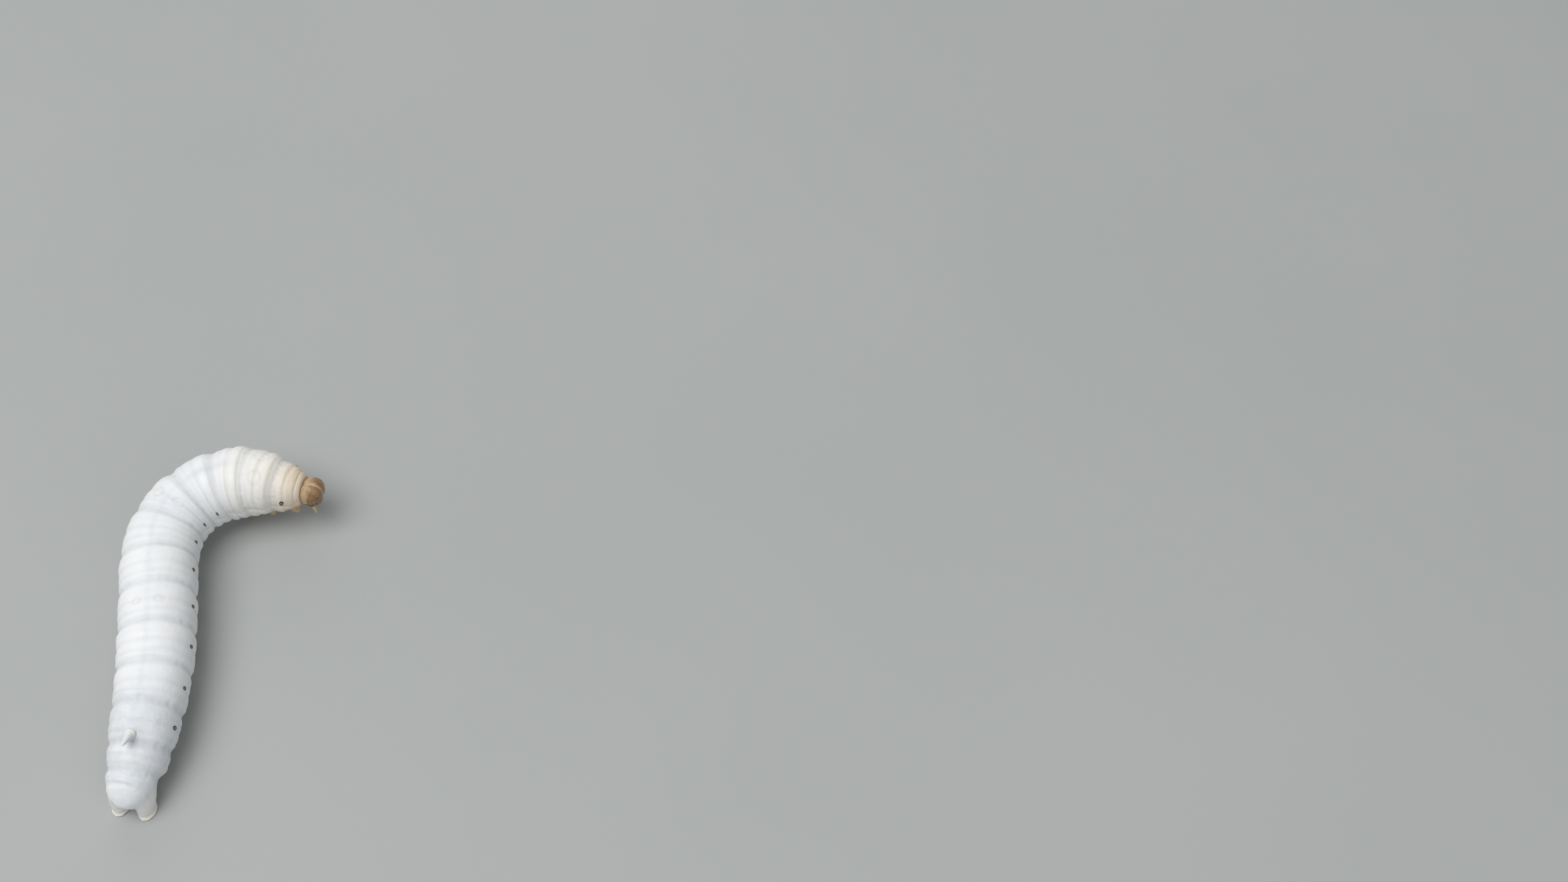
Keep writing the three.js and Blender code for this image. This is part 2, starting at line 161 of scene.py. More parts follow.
def put_mesh(name: str, points: Array, faces: Array, smooth: bool = True) -> Object:
    """Makes an object at the origin from arrays.

    Args:
        name: The object's name.
        points: Vertices (n, 3) in millimetres.
        faces: Faces (m, 3 or 4) of vertex numbers.
        smooth: Whether its faces are shaded smooth.

    Returns:
        The linked object.
    """
    mesh = bpy.data.meshes.new(name)
    mesh.vertices.add(len(points))
    mesh.vertices.foreach_set("co", (points * MM).astype(np.float32).ravel())
    mesh.loops.add(faces.size)
    mesh.loops.foreach_set("vertex_index", faces.astype(np.int32).ravel())
    mesh.polygons.add(len(faces))
    mesh.polygons.foreach_set("loop_start", np.arange(0, faces.size, faces.shape[1], dtype=np.int32))
    mesh.polygons.foreach_set("use_smooth", np.full(len(faces), smooth))
    mesh.update(calc_edges=True)
    mesh.validate()
    obj = bpy.data.objects.new(name, mesh)
    bpy.context.collection.objects.link(obj)
    return obj


def set_attribute(obj: Object, name: str, values: Array) -> None:
    """Stores one number for each vertex of a mesh under a name that materials read."""
    data = obj.data.attributes.new(name, "FLOAT", "POINT")
    data.data.foreach_set("value", np.ascontiguousarray(values, dtype=np.float32).ravel())


def closed(grid: Array) -> Array:
    """Returns a grid's values in one list, followed by the means of its first and last rows."""
    return np.concatenate([grid.reshape(-1, *grid.shape[2:]), grid[[0, -1]].mean(1)])


def fans(rows: int, cols: int) -> tuple[Array, Array]:
    """Returns the faces that join the first and last rows of a grid to the two points after it."""
    k = np.arange(cols)
    after, top = (k + 1) % cols, (rows - 1) * cols
    first = np.stack([np.full(cols, rows * cols), after, k, k], -1)
    return first, np.stack([np.full(cols, rows * cols + 1), top + k, top + after, top + after], -1)


def quads(i: Array, j: Array, cols: int) -> Array:
    """Returns the faces from row i, place j to the next row and place of a grid that closes on itself."""
    near, far = i * cols + j, i * cols + (j + 1) % cols
    return np.stack([near, far, far + cols, near + cols], -1).reshape(-1, 4)


@dataclass
class Patchwork:
    """Collects closed surfaces, then makes one mesh of them, with named numbers at their vertices."""

    points: list[Array] = field(default_factory=list)
    faces: list[Array] = field(default_factory=list)
    numbers: dict[str, list[Array]] = field(default_factory=dict)

    def loft(self, grid: Array, **numbers: Array | float) -> None:
        """Adds a closed tube through rings of points, each end a fan about the mean of its ring.

        Args:
            grid: Points (rings, places, 3).
            numbers: Values that fit the grid points (rings, places), by name.
        """
        rows, cols = grid.shape[:2]
        sides = quads(*np.meshgrid(np.arange(rows - 1), np.arange(cols), indexing="ij"), cols)
        values = {key: closed(np.broadcast_to(value, (rows, cols))) for key, value in numbers.items()}
        self.add(closed(grid), np.concatenate([sides, *fans(rows, cols)]), values)

    def add(self, points: Array, faces: Array, numbers: dict[str, Array]) -> None:
        """Adds a closed surface, turned outwards by the sign of its volume, the sum of a . (b x c) / 6.

        Args:
            points: Vertices (n, 3).
            faces: Faces (m, 4) of vertex numbers; a triangle has one number twice.
            numbers: A value for each vertex, by name.
        """
        a, b, c, d = np.moveaxis(points[faces] - points.mean(0), 1, 0)
        if (a * (np.cross(b, c) + np.cross(c, d))).sum() < 0:
            faces = faces[:, [1, 0, 3, 2]]
        self.faces.append(faces + sum(map(len, self.points)))
        self.points.append(points)
        for name, value in numbers.items():
            self.numbers.setdefault(name, []).append(value)

    def build(self, name: str) -> Object:
        """Makes the object.

        Args:
            name: The object's name.

        Returns:
            The object, of triangles between the points in use, with its numbers as attributes.
        """
        faces = np.concatenate(self.faces)
        both = np.concatenate([faces[:, [0, 1, 2]], faces[:, [0, 2, 3]]])
        a, b, c = both.T
        used, both = np.unique(both[(a != b) & (b != c) & (c != a)], return_inverse=True)
        obj = put_mesh(name, np.concatenate(self.points)[used], both.reshape(-1, 3))
        for key, values in self.numbers.items():
            set_attribute(obj, key, np.concatenate(values)[used])
        return obj


@dataclass(frozen=True)
class Ring:
    """One ring of the body: its length along the spine, width, height and height above the floor."""

    name: str
    length: float
    width: float
    height: float
    clearance: float


@dataclass
class Spine:
    """The line that the body follows, and its sizes along it.

    The heading at s is heading + curl * e((s - curl_from) / (curl_to - curl_from)) + swing * e(...), where e
    is smoothstep, and the plan is that heading summed in small steps.
    """

    rings: tuple[Ring, ...] = (
        Ring("prothorax", 3.6, 7.0, 6.9, 3.9),
        Ring("mesothorax", 4.1, 9.1, 8.8, 3.1),
        Ring("metathorax", 4.3, 10.3, 9.9, 2.3),
        Ring("abdomen_1", 4.6, 10.15, 9.8, 1.9),
        Ring("abdomen_2", 5.0, 10.2, 9.7, 1.6),
        Ring("abdomen_3", 5.6, 10.3, 9.6, 1.5),
        Ring("abdomen_4", 5.8, 10.4, 9.7, 1.5),
        Ring("abdomen_5", 5.9, 10.3, 9.6, 1.5),
        Ring("abdomen_6", 5.9, 10.2, 9.3, 1.5),
        Ring("abdomen_7", 5.6, 9.6, 8.9, 1.5),
        Ring("abdomen_8", 5.0, 8.9, 8.5, 1.5),
        Ring("abdomen_9", 3.2, 7.8, 7.2, 1.3),
        Ring("anal_segment", 4.8, 6.7, 5.9, 1.05),
    )
    thorax_rings: int = 3
    head_length: float = 3.2
    start_x: float = 13.645
    start_y: float = 19.6095
    heading: float = 168.0
    curl: float = 112.0
    curl_from: float = 6.4
    curl_to: float = 33.3
    swing: float = -36.5
    swing_from: float = 34.8
    swing_to: float = 90.0
    step: float = 0.05

    def __post_init__(self) -> None:
        """Walks the plan once and keeps where each ring starts and has its middle."""
        lengths = np.array([r.length for r in self.rings])
        self.starts = self.head_length + np.concatenate([[0.0], np.cumsum(lengths)])
        self.middles = self.starts[:-1] + lengths / 2
        self.end = float(self.starts[-1])
        self.track_s = np.arange(0.0, self.end + 2 * self.step, self.step)
        turn = self.turn(self.track_s[:-1] + self.step / 2)
        self.track_x = self.start_x + np.concatenate([[0.0], np.cumsum(np.cos(turn))]) * self.step
        self.track_y = self.start_y + np.concatenate([[0.0], np.cumsum(np.sin(turn))]) * self.step

    def turn(self, s: Array) -> Array:
        """Returns the heading towards the tail, in radians."""
        curl = self.curl * smoothstep((s - self.curl_from) / (self.curl_to - self.curl_from))
        swing = self.swing * smoothstep((s - self.swing_from) / (self.swing_to - self.swing_from))
        return np.radians(self.heading + curl + swing)

    def at(self, ring: int, share: float) -> float:
        """Returns the place a share of the way along a ring."""
        return float(self.starts[ring] + share * self.rings[ring].length)

    def size(self, s: Array, key: str) -> Array:
        """Reads a ring size anywhere along the spine: a cubic through the rings' middles.

        Args:
            s: Places along the spine.
            key: The name of a Ring field.

        Returns:
            The size at each place.
        """
        v, m = np.array([getattr(r, key) for r in self.rings]), self.middles
        slope = np.zeros(len(v))
        slope[1:-1] = (v[2:] - v[:-2]) / (m[2:] - m[:-2])
        i = np.clip(np.searchsorted(m, s, side="left") - 1, 0, len(v) - 2)
        span = m[i + 1] - m[i]
        t = np.clip((s - m[i]) / span, 0, 1)
        h = (1 + 2 * t) * (1 - t) ** 2
        bend = t * (1 - t) ** 2 * slope[i] - t * t * (1 - t) * slope[i + 1]
        return h * v[i] + (1 - h) * v[i + 1] + span * bend

    def radius(self, s: float) -> float:
        """Returns half the body's mean thickness."""
        return float(self.size(s, "width") + self.size(s, "height")) / 4

    def axis_height(self, s: Array) -> Array:
        """Returns how high the spine runs above the floor."""
        return self.size(s, "clearance") + self.size(s, "height") / 2

    def point(self, s: Array) -> Array:
        """Returns points on the spine."""
        plan = [np.interp(s, self.track_s, track) for track in (self.track_x, self.track_y)]
        return np.stack([*plan, self.axis_height(s)], -1)

    def axes(self, s: Array) -> tuple[Array, Array, Array]:
        """Returns the body's forward, left and up directions at s."""
        turn = self.turn(s)
        rise = (self.axis_height(s + self.step) - self.axis_height(s - self.step)) / (2 * self.step)
        forward = unit(np.stack([-np.cos(turn), -np.sin(turn), -rise], -1))
        left = unit(np.cross(UP, forward))
        return forward, left, np.cross(forward, left)


@dataclass
class BodyForm:
    """The body's surface over s along the spine and an angle from the left flank over the back."""

    spine: Spine
    groove_depth: float = 0.42
    groove_width: float = 0.55
    fold_depth: float = 0.12
    fold_width: float = 0.45
    folds: tuple[float, ...] = (0.5, 0.76)
    thorax_fold_depth: float = 0.24
    flank_bulge: float = 0.28
    flank_angle: float = -30.0
    flank_spread: float = 17.0
    belly_flatness: float = 0.9
    collar_shrink: float = 0.3
    collar_length: float = 2.6
    lip_depth: float = 0.4
    lip_length: float = 0.5
    tail_rounding: float = 4.6
    tail_power: float = 2.3

    def draw(self, s: Array) -> Array:
        """Returns how far the body is drawn in: a collar at the head and a round end at the tail."""
        collar = 1 - self.collar_shrink * (1 - smoothstep((s - self.spine.head_length) / self.collar_length))
        u = np.clip((s - (self.spine.end - self.tail_rounding)) / self.tail_rounding, 0, 1)
        return collar * np.sqrt(np.maximum(0, 1 - u**self.tail_power))

    def groove(self, s: Array) -> Array:
        """Returns 1 in a groove between rings, falling to 0 beside it."""
        return sum(bump(s - edge, self.groove_width) for edge in self.spine.starts)

    def relief(self, s: Array, angle: Array) -> Array:
        """Returns the swelling of the flanks less the grooves, folds and collar's lip, as on the solids."""
        back = 0.55 + 0.45 * np.sin(angle)
        depth = self.groove_depth * self.groove(s) * (0.5 + 0.5 * back)
        for i in range(len(self.spine.rings)):
            fold = self.thorax_fold_depth if i < self.spine.thorax_rings else self.fold_depth
            for share in self.folds:
                depth = depth + fold * bump(s - self.spine.at(i, share), self.fold_width) * back
        low = elevation(angle) - math.radians(self.flank_angle)
        x = np.clip((s - self.spine.head_length) / self.lip_length, 0, 1)
        lip = self.lip_depth * (1 - np.sqrt(1 - (1 - x) ** 2))
        return self.flank_bulge * bump(low, math.radians(self.flank_spread)) - depth - lip

    def surface(self, s: Array, angle: Array, offset: Array | float = 0.0) -> Array:
        """Works out points of the surface.

        Args:
            s: Places along the spine.
            angle: Angles round it: 0 left flank, a quarter turn back, half a turn right flank.
            offset: How far outside the surface, in millimetres.

        Returns:
            Points (..., 3): centre + left * a * cos(angle) + up * b * sin(angle), where a and b are half the
            width and height, drawn in by draw(s), plus the relief and the offset.
        """
        s, angle = np.broadcast_arrays(s, angle)
        shrink = self.draw(s)
        _, left, up = self.spine.axes(s)
        flat = np.where(np.sin(angle) < 0, self.belly_flatness, 1.0)
        out = self.relief(s, angle) * shrink + offset * smoothstep(shrink * 1.6)
        wide = self.spine.size(s, "width") / 2 * shrink + out
        tall = self.spine.size(s, "height") / 2 * shrink + out
        lift = np.sign(np.sin(angle)) * np.abs(np.sin(angle)) ** flat
        return self.spine.point(s) + left * (wide * np.cos(angle))[..., None] + up * (tall * lift)[..., None]

    def normal(self, s: Array, angle: Array) -> Array:
        """Returns outward directions of the surface, from its two slopes."""
        ds = self.surface(s + 0.1, angle) - self.surface(s - 0.1, angle)
        da = self.surface(s, angle + 0.02) - self.surface(s, angle - 0.02)
        n = unit(np.cross(da, ds))
        out = self.surface(s, angle) - self.spine.point(s)
        return n * np.sign((n * out).sum(-1, keepdims=True))


class Tree:
    """Short ways to add and join the nodes of a material or a node group."""

    def __init__(self, tree: bpy.types.NodeTree) -> None:
        """Keeps the node tree that it adds to."""
        self.tree = tree

    def feed(self, node: Node, inputs: Inputs) -> None:
        """Joins sockets to a node's inputs, by name or number, or sets them to plain values."""
        for key, value in inputs.items():
            if isinstance(value, Socket):
                self.tree.links.new(value, node.inputs[key])
            else:
                node.inputs[key].default_value = value

    def node(self, kind: str, inputs: Inputs | None = None, **settings: object) -> Node:
        """Adds a node, sets its properties and feeds its inputs."""
        made = self.tree.nodes.new(kind)
        for key, value in settings.items():
            setattr(made, key, value)
        self.feed(made, inputs or {})
        return made

    def math(self, kind: str, *values: object, clamp: bool = False) -> Socket:
        """Adds a Math node over sockets or numbers and returns its value."""
        inputs = dict(enumerate(values))
        return self.node("ShaderNodeMath", inputs, operation=kind, use_clamp=clamp).outputs[0]

    def mix(self, factor: object, first: Socket | Colour, second: Socket | Colour) -> Socket:
        """Adds a colour Mix and returns its colour."""
        first, second = ((*c, 1.0) if isinstance(c, tuple) else c for c in (first, second))
        return self.node("ShaderNodeMix", {"Factor": factor, 6: first, 7: second}, data_type="RGBA").outputs[2]

    def attribute(self, name: str) -> Socket:
        """Returns a mesh's own number as a value."""
        return self.node("ShaderNodeAttribute", attribute_name=name).outputs["Fac"]

    def place(self) -> Socket:
        """Returns Object coordinates."""
        return self.node("ShaderNodeTexCoord").outputs["Object"]

    def noise(self, scale: Socket | float, detail: float, rough: float = 0.55) -> Socket:
        """Adds noise on Object coordinates and returns its value."""
        inputs = {"Vector": self.place(), "Scale": scale, "Detail": detail, "Roughness": rough}
        return self.node("ShaderNodeTexNoise", inputs).outputs[0]

    def ramp(self, value: Socket, low: float, high: float) -> Socket:
        """Maps low..high to 0..1, held at both ends."""
        inputs = {"Value": value, "From Min": low, "From Max": high}
        return self.node("ShaderNodeMapRange", inputs).outputs[0]


def cuticle_group() -> bpy.types.NodeTree:
    """Builds the effect that every finish of the animal shares: fine wrinkles and a mottle.

    Returns:
        A group with inputs Wrinkle Scale, Mottle Scale and Depth, and outputs Height and Mottle.
    """
    group = bpy.data.node_groups.new("Cuticle", "ShaderNodeTree")
    for name, value in (("Wrinkle Scale", 900.0), ("Mottle Scale", 300.0), ("Depth", 1.0)):
        socket = group.interface.new_socket(name, in_out="INPUT", socket_type="NodeSocketFloat")
        socket.default_value = value
    for name in ("Height", "Mottle"):
        group.interface.new_socket(name, in_out="OUTPUT", socket_type="NodeSocketFloat")
    t = Tree(group)
    wrinkle, mottle, depth = t.node("NodeGroupInput").outputs[:3]
    cells = t.node("ShaderNodeTexVoronoi", {"Vector": t.place(), "Scale": wrinkle}, feature="SMOOTH_F1")
    cloud = t.noise(t.math("MULTIPLY", wrinkle, 0.45), 5.0, 0.5)
    both = t.math("ADD", t.math("MULTIPLY", cells.outputs[0], 0.6), cloud)
    height, spots = t.math("MULTIPLY", both, depth), t.ramp(t.noise(mottle, 3.0, 0.5), 0.36, 0.64)
    t.node("NodeGroupOutput", {"Height": height, "Mottle": spots})
    return group


@dataclass(frozen=True)
class Finish:
    """A plain procedural finish: two colours mixed by mottle, an accent under a mask, and its gloss."""

    name: str
    base: Colour
    mottle: Colour
    accent: Colour = (0.0, 0.0, 0.0)
    mask: str = "dark"
    rough: tuple[float, float] = (0.4, 0.6)
    wrinkle_scale: float = 2600.0
    mottle_scale: float = 900.0
    bump_distance: float = 0.000004
    subsurface: float = 0.0
    radius: Colour = (1.0, 0.8, 0.6)
    subsurface_scale: float = 0.0006
    coat: float = 0.0
    specular: float = 0.5

    def colour(self, t: Tree, mottle: Socket) -> Socket:
        """Mixes the colour: base with mottle, then with the accent under the mask.

        Args:
            t: The material's tree.
            mottle: The cuticle's mottle.

        Returns:
            The colour.
        """
        return t.mix(t.attribute(self.mask), t.mix(mottle, self.base, self.mottle), self.accent)

    def make(self, group: bpy.types.NodeTree) -> bpy.types.Material:
        """Makes the material.

        Args:
            group: The shared cuticle effect.

        Returns:
            The material.
        """
        material = bpy.data.materials.new(self.name)
        material.use_nodes = True
        t = Tree(material.node_tree)
        scales = {"Wrinkle Scale": self.wrinkle_scale, "Mottle Scale": self.mottle_scale}
        height, mottle = t.node("ShaderNodeGroup", node_tree=group).outputs[:2]
        t.feed(height.node, scales)
        rough = {"Value": mottle, "To Min": self.rough[0], "To Max": self.rough[1]}
        bumped = {"Distance": self.bump_distance, "Height": height}
        t.feed(material.node_tree.nodes["Principled BSDF"], {
            "Base Color": self.colour(t, mottle),
            "Roughness": t.node("ShaderNodeMapRange", rough).outputs[0],
            "Normal": t.node("ShaderNodeBump", bumped).outputs[0],
            "Subsurface Weight": self.subsurface,
            "Subsurface Radius": self.radius,
            "Subsurface Scale": self.subsurface_scale,
            "Coat Weight": self.coat,
            "Specular IOR Level": self.specular,
        })
        return material


@dataclass(frozen=True)
class CapsuleFinish(Finish):
    """The head's brown cuticle: pale along its sutures, darker in clouds towards the mouth, partly painted
    shade.
    """

    deep: Colour = (0.085, 0.042, 0.018)

    def colour(self, t: Tree, mottle: Socket) -> Socket:
        """Mixes the colour: mottled brown, then the pale seams, then the dark face, part own brown, part
        painted shade.

        Args:
            t: The material's tree.
            mottle: The cuticle's mottle.

        Returns:
            The colour.
        """
        cloud = t.math("ADD", t.math("MULTIPLY", t.ramp(t.noise(1800.0, 4.0), 0.3, 0.7), 0.5), 0.5)
        dark = t.math("MULTIPLY", t.attribute("dark"), cloud, clamp=True)
        return t.mix(dark, super().colour(t, mottle), self.deep)


@dataclass(frozen=True)
class SkinFinish(Finish):
    """The larva's skin: cool white, cream on the thorax, painted bluish shade where it folds, and bluish over
    the heart.

    Each tint is a colour under the mask of its name, with its strength.
    """

    tints: tuple[tuple[str, Colour, float], ...] = (
        ("cream", (0.86, 0.79, 0.66), 0.62),
        ("collar", (0.70, 0.54, 0.36), 0.95),
        ("grey", (0.56, 0.61, 0.66), 0.55),
        # fold: painted bluish shade in the grooves and folds between rings
        ("fold", (0.56, 0.59, 0.62), 0.42),
        ("heart", (0.52, 0.59, 0.66), 0.26),
        ("mark", (0.42, 0.34, 0.27), 0.30),
        ("foot", (0.86, 0.79, 0.66), 0.6),
    )

    def colour(self, t: Tree, mottle: Socket) -> Socket:
        """Mixes the colour: each tint in clouds, and the grey in specks as well.

        Args:
            t: The material's tree.
            mottle: The cuticle's mottle.

        Returns:
            The colour.
        """
        grain = t.math("ADD", t.math("MULTIPLY", t.ramp(t.noise(160.0, 5.0), 0.3, 0.7), 0.6), 0.55)
        speck = t.math("ADD", t.math("MULTIPLY", t.ramp(t.noise(750.0, 3.0), 0.38, 0.62), 0.55), 0.6)
        colour = t.mix(t.math("MULTIPLY", mottle, 0.55), self.base, self.mottle)
        for mask, tint, strength in self.tints:
            amount = t.math("MULTIPLY", t.attribute(mask), grain)
            amount = t.math("MULTIPLY", amount, strength, clamp=True)
            if mask == "grey":
                amount = t.math("MULTIPLY", amount, speck, clamp=True)
            colour = t.mix(amount, colour, tint)
        return colour


FINISHES: dict[str, Finish] = {
    "skin": SkinFinish(
        "silkworm skin", (0.89, 0.895, 0.895), (0.82, 0.835, 0.85), rough=(0.46, 0.62), mottle_scale=420.0,
        bump_distance=0.00005, subsurface=0.35, radius=(1.0, 0.92, 0.88), subsurface_scale=0.0008, specular=0.4,
    ),
    "capsule": CapsuleFinish(
        "head capsule", (0.33, 0.20, 0.095), (0.23, 0.13, 0.055), (0.66, 0.50, 0.31), "seam", (0.3, 0.46),
        3200.0, 1500.0, 0.00002, subsurface=0.08, subsurface_scale=0.0003, coat=0.15,
    ),
    "leg": Finish(
        "leg cuticle", (0.66, 0.50, 0.30), (0.56, 0.39, 0.20), (0.12, 0.055, 0.02), rough=(0.32, 0.48),
        mottle_scale=1200.0, bump_distance=0.00002, subsurface=0.15, subsurface_scale=0.0003, coat=0.1,
    ),
    "jaw": Finish(
        "dark jaw cuticle", (0.09, 0.04, 0.018), (0.05, 0.02, 0.01), (0.02, 0.01, 0.006), rough=(0.2, 0.32),
        mottle_scale=1200.0, bump_distance=0.00001, coat=0.3,
    ),
    "eye": Finish(
        "stemma", (0.012, 0.009, 0.008), (0.02, 0.014, 0.01), (0.10, 0.06, 0.03), "rim", (0.06, 0.12), coat=0.8,
    ),
    "spiracle": Finish(
        "spiracle", (0.10, 0.075, 0.055), (0.05, 0.035, 0.025), (0.34, 0.30, 0.26), "sieve", (0.35, 0.5),
        3600.0, 1800.0, 0.00002,
    ),
    "hook": Finish(
        "sole hooks", (0.26, 0.13, 0.05), (0.18, 0.08, 0.03), (0.05, 0.02, 0.01), rough=(0.25, 0.4),
    ),
    "hair": Finish("fine hair", (0.80, 0.73, 0.60), (0.72, 0.63, 0.48), (0.50, 0.38, 0.24), rough=(0.35, 0.5)),
}


class Wardrobe:
    """Every finish of the animal, made once."""

    def __init__(self) -> None:
        """Builds the shared group and each material."""
        group = cuticle_group()
        self.made = {key: finish.make(group) for key, finish in FINISHES.items()}

    def dress(self, obj: Object, key: str, replaces: Sequence[str] = ()) -> None:
        """Gives a piece its material, hangs it on the root body and hides the solids' nodes that it stands for.

        Args:
            obj: The piece.
            key: The finish's name.
            replaces: The nodes of the solids that it stands for.
        """
        obj.data.materials.append(self.made[key])
        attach(obj, "root")
        if replaces:
            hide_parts(*replaces)
        LOG.info("%s: %d faces, finish %s", obj.name, len(obj.data.polygons), key)


@dataclass(frozen=True)
class FootShape:
    """A fleshy foot: where it grows, its profile and the patch of skin that flows into it.

    The profile's rows are (share of the way down, half size across, half size fore and aft). The patch
    reaches front and rear millimetres along the body, and inner and outer degrees round it.
    """

    angle: float
    sink: float
    splay: float
    reach: float
    rows: tuple[tuple[float, float, float], ...]
    front: float
    rear: float
    inner: float
    outer: float


PROLEG = FootShape(-54, 1.3, 0.15, 0.0, (
    (0, 1.75, 2.0), (0.4, 1.65, 1.9), (0.58, 1.35, 1.6), (0.7, 1.28, 1.5),
    (0.84, 1.02, 1.26), (0.94, 1.14, 1.42), (1, 1.02, 1.3),
), 2.7, 2.7, 33, 38)
CLASPER = FootShape(-36, 1.5, 0.3, -1.1, (
    (0, 1.45, 2.0), (0.4, 1.5, 1.95), (0.62, 1.3, 1.7), (0.8, 1.12, 1.45), (0.93, 1.24, 1.6), (1, 1.12, 1.48),
), 2.7, 2.1, 46, 44)


@dataclass
class Foot:
    """One foot, which widens at its root to flow out of the skin."""

    body: BodyForm
    shape: FootShape
    s: float
    side: Side
    fillet: float = 0.95
    join: float = 0.68
    inset: float = 0.03
    folds: tuple[tuple[float, float, float], ...] = ((0.72, 0.03, 1.0), (0.58, 0.04, 1.0), (0.84, 0.02, 0.7))
    hook_spread: float = 62.0
    hook_sizes: tuple[float, float] = (0.22, 0.30)
    hook_rings: int = 6
    hook_sides: int = 5
    hook_radius: float = 0.035
    hook_tip: float = 0.006
    hook_lean: float = 0.10
    hook_lift: float = 0.015
    hook_seat: float = 0.93
    lobes: int = 9
    lobe_height: float = 0.02
    fold_depth: float = 0.05
    sole_rounding: float = 0.10

    @property
    def turn(self) -> float:
        """Its angle round the body, in radians."""
        return self.side.angle(self.shape.angle)

    def lines(self) -> tuple[Array, Array, Array, Array]:
        """Returns its root, the way down to its foot, and the level forward and left directions."""
        forward, left, _ = self.body.spine.axes(self.s)
        root = self.body.surface(self.s, self.turn, -self.shape.sink)
        foot = (root + left * self.shape.splay * self.side.value + forward * self.shape.reach) * LEVEL
        level = unit(forward * LEVEL)
        return root, foot - root, level, np.cross(UP, level)

    def profile(self, t: Array) -> tuple[Array, Array]:
        """Returns the leg's two half sizes, across and fore and aft, at shares t of the way down."""
        table = np.array(self.shape.rows)
        even = np.linspace(0, 1, 81)
        kernel = np.array([1, 4, 6, 4, 1]) / 16
        sizes = []
        for column in (1, 2):
            size = np.pad(np.interp(even, table[:, 0], table[:, column]), 2, mode="edge")
            sizes.append(np.interp(t, even, np.convolve(size, kernel, mode="valid")) - self.inset)
        return sizes[0], sizes[1]

    def block(self) -> tuple[float, float, float, float]:
        """Returns the patch's two ends along the body and its two edges round it."""
        shape = self.shape
        less, more = np.radians([shape.inner, shape.outer][:: self.side.value])
        return self.s - shape.front, self.s + shape.rear, self.turn - less, self.turn + more

    def rings(self, skin: "Skin", s: Array, a: Array, rows: int = 28) -> tuple[Array, dict[str, Array]]:
        """Carries the leg from its patch's border, through the skin, down to its sole.

        The first rings close in over the skin from the border to the leg's ellipse, while each passes from
        the skin to the leg by skin * (1 - w) + leg * w, where w is smoothstep of the way over the fillet, so
        that the leg leaves the skin along it. Below, each ring is an ellipse of the profile's half sizes less
        folds, with small lobes round the sole.

        Args:
            skin: The skin that it grows out of.
            s: Places of the border along the spine.
            a: Angles of the border round it.
            rows: How many rings.

        Returns:
            Points (rows, count, 3) and the masks' values there, by name.
        """
        root, drop, level, left = self.lines()
        wide, deep = self.profile(np.array(0.45))
        radius = self.body.spine.radius(self.s) * max(abs(math.sin(self.turn)), 0.8)
        x, y = (a - self.turn) * radius, self.s - s
        angle = np.arctan2(y / deep, x / wide)
        gap = np.hypot(x, y) * (1 - 1 / np.hypot(x / wide, y / deep))
        late = np.clip(1 - self.fillet / np.maximum(gap, 0.01), 0, 0.6)
        upper = rows // 2
        below = rows - upper
        way = np.linspace(0, 1, upper + 1)[1:, None]
        skin_s = s * (1 - way) + (self.s - deep * np.sin(angle)) * way
        skin_a = a * (1 - way) + (self.turn + wide * np.cos(angle) / radius) * way
        on_skin = skin.cover(skin_s, skin_a)
        start = (on_skin[-1] - root) @ drop / (drop @ drop)
        low = np.repeat(np.linspace(self.join, 1, below + 1)[1:, None], len(s), axis=1)
        t = np.concatenate([start + (self.join - start) * way, low])
        wide, deep = self.profile(np.clip(t, 0, 1))
        fold = sum(depth * bump(t - at, width) for at, width, depth in self.folds)
        lobes = self.lobe_height * np.sin(self.lobes * angle + 2) * smoothstep((t - 0.86) / 0.1)
        grow = lobes - self.fold_depth * fold - self.sole_rounding * smoothstep((t - 0.965) / 0.035)
        leg = tube(root + drop * t[..., None], left, level, wide + grow, deep + grow, angle)
        share = np.ones_like(t)
        share[:upper] = smoothstep((way - late) / (1 - late))
        base = np.concatenate([on_skin, leg[upper:]])
        grid = base * (1 - share[..., None]) + leg * share[..., None]
        places = (np.concatenate([v, np.repeat(v[-1:], below, axis=0)]) for v in (skin_s, skin_a))
        # The foot's own folds take the fold mask: painted shade in its creases.
        own = {"cream": 0.5, "fold": 0.6 * fold}
        values = {
            key: value * (1 - share) + own.get(key, 0.0) * share for key, value in skin.masks(*places).items()
        }
        return grid, {**values, "foot": np.clip(t, 0, 1) * share}

    def hooks(self, patch: Patchwork, count: int = 22) -> None:
        """Adds the row of small hooks along the inner edge of the sole, long and short by turns.

        Each is a cone of few sides that bows out beside the sole's edge, from its root at u = 0 down to its tip
        at u = 1: its middle line is edge + out * lean * sin(2.4 u) + up * (size * (1 - u) + lift).

        Args:
            patch: Where the hooks are gathered.
            count: How many there are.
        """
        root, drop, level, left = self.lines()
        wide, deep = (self.hook_seat * size for size in self.shape.rows[-1][1:])
        u = np.linspace(0, 1, self.hook_rings)[:, None]
        thick = self.hook_radius * (1 - u) + self.hook_tip
        for k, turn in enumerate(np.radians(np.linspace(-self.hook_spread, self.hook_spread, count))):
            inner, ahead = left * -self.side.value * math.cos(turn), level * math.sin(turn)
            out = inner + ahead
            rise = UP * (self.hook_sizes[k % 2] * (1 - u) + self.hook_lift)
            curl = out * (self.hook_lean * np.sin(u * 2.4))
            line = root + drop + inner * wide + ahead * deep + curl + rise
            cone = tube(line[:, None], unit(np.cross(out, UP)), out, thick, thick, around(self.hook_sides))
            patch.loft(cone, dark=u)


